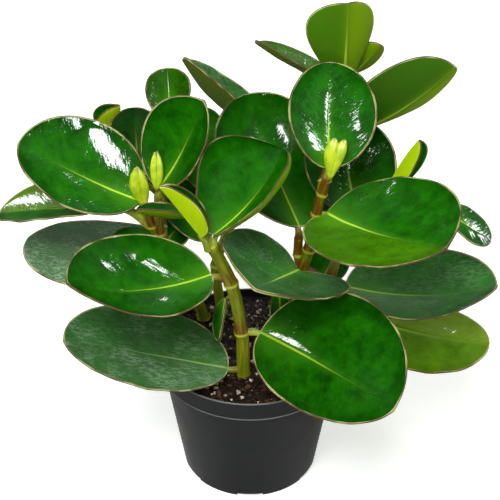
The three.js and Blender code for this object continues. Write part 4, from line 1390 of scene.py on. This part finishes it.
def makeFloor():
    bpy.ops.mesh.primitive_plane_add(size=stageSettings["floorSize"], location=(0, 0, 0))
    floor = bpy.context.object
    floor.name = "studio_floor"
    material, tree, surface, _ = newMaterial("studioFloor", Roughness=0.9, Specular_IOR_Level=0.1)
    ray = addNode(tree, "ShaderNodeLightPath").outputs
    tone = ramp(tree, ray["Is Glossy Ray"], 0.0, 1.0, stageSettings["floorTone"], stageSettings["floorSheen"])
    tree.links.new(tone, surface.inputs["Base Color"])
    surface.inputs["Emission Color"].default_value = (1.0, 1.0, 1.0, 1.0)
    glow = times(tree, ray["Is Camera Ray"], stageSettings["floorGlow"])
    tree.links.new(glow, surface.inputs["Emission Strength"])
    floor.data.materials.append(material)


def makeSurroundings():
    world = bpy.data.worlds.new("studioWorld")
    bpy.context.scene.world = world
    world.use_nodes = True
    tree = world.node_tree
    ray = addNode(tree, "ShaderNodeLightPath").outputs
    seen = ramp(tree, ray["Is Camera Ray"], 0.0, 1.0, stageSettings["ambient"], stageSettings["backdrop"])
    drop = times(tree, ray["Is Glossy Ray"], stageSettings["sheen"] - stageSettings["ambient"])
    sky = tree.nodes["Background"]
    sky.inputs["Color"].default_value = (1.0, 1.0, 1.0, 1.0)
    tree.links.new(plus(tree, seen, drop), sky.inputs["Strength"])


# azimuth turns from behind the plant towards its right, sizes and reach are metres and brightness is the
# light's own radiance; onMatt and onGloss say which surfaces it lights
softboxes = {
    "frontTop": dict(azimuth=194, elevation=54, reach=2.0, size=(0.95, 0.85), brightness=14.0, onMatt=True),
    "frontLow": dict(azimuth=144, elevation=30, reach=2.0, size=(1.0, 0.6), brightness=12.0),
    "leftHigh": dict(azimuth=-98, elevation=66, reach=1.9, size=(0.8, 1.1), brightness=13.0),
    "rightSide": dict(azimuth=90, elevation=44, reach=1.9, size=(1.6, 0.9), brightness=14.0),
    "rightLow": dict(azimuth=68, elevation=21, reach=1.9, size=(1.1, 0.4), brightness=12.0),
    "rightHigh": dict(azimuth=45, elevation=66, reach=1.9, size=(0.8, 0.6), brightness=13.0),
    "behindLeft": dict(azimuth=-30, elevation=29, reach=1.9, size=(0.8, 0.8), brightness=12.0),
    "behindRight": dict(azimuth=10, elevation=29, reach=1.9, size=(0.6, 0.9), brightness=10.0),
    "lowLeft": dict(
        azimuth=-78, elevation=14, reach=1.8, size=(0.6, 0.7),
        brightness=8.0, onMatt=True, onGloss=False,
    ),
    "lowRight": dict(
        azimuth=84, elevation=14, reach=1.8, size=(0.6, 0.7),
        brightness=5.0, onMatt=True, onGloss=False,
    ),
}


lampsAimAt = (0.0, 0.0, 0.15)


def makeLights():
    for name, box in softboxes.items():
        azimuth, elevation = math.radians(box["azimuth"]), math.radians(box["elevation"])
        level = math.cos(elevation)
        away = Vector((math.sin(azimuth) * level, math.cos(azimuth) * level, math.sin(elevation)))
        lamp = bpy.data.lights.new(name, "AREA")
        lamp.shape = "RECTANGLE"
        lamp.size, lamp.size_y = box["size"]
        lamp.energy = box["brightness"] * math.pi * lamp.size * lamp.size_y
        holder = bpy.data.objects.new(name, lamp)
        bpy.context.scene.collection.objects.link(holder)
        holder.location = Vector(lampsAimAt) + away * box["reach"]
        holder.rotation_euler = away.to_track_quat("Z", "Y").to_euler()
        holder.visible_camera = False
        holder.visible_diffuse = box.get("onMatt", False)
        holder.visible_glossy = box.get("onGloss", True)


viewpoint = dict(place=(0.0, -0.866, 0.774), pitchDown=35.4, lens=129.6, sensor=36.0)


def makeCamera():
    data = bpy.data.cameras.new("photoView")
    data.lens = viewpoint["lens"]
    data.sensor_width = viewpoint["sensor"]
    camera = bpy.data.objects.new("photoView", data)
    bpy.context.scene.collection.objects.link(camera)
    camera.location = viewpoint["place"]
    camera.rotation_euler = (math.radians(90 - viewpoint["pitchDown"]), 0, 0)
    bpy.context.scene.camera = camera


makeFloor()
makeSurroundings()
makeLights()
makeCamera()
bpy.context.scene.view_settings.view_transform = "Standard"
print("stage, lights and camera ready")

bpy.context.view_layer.update()
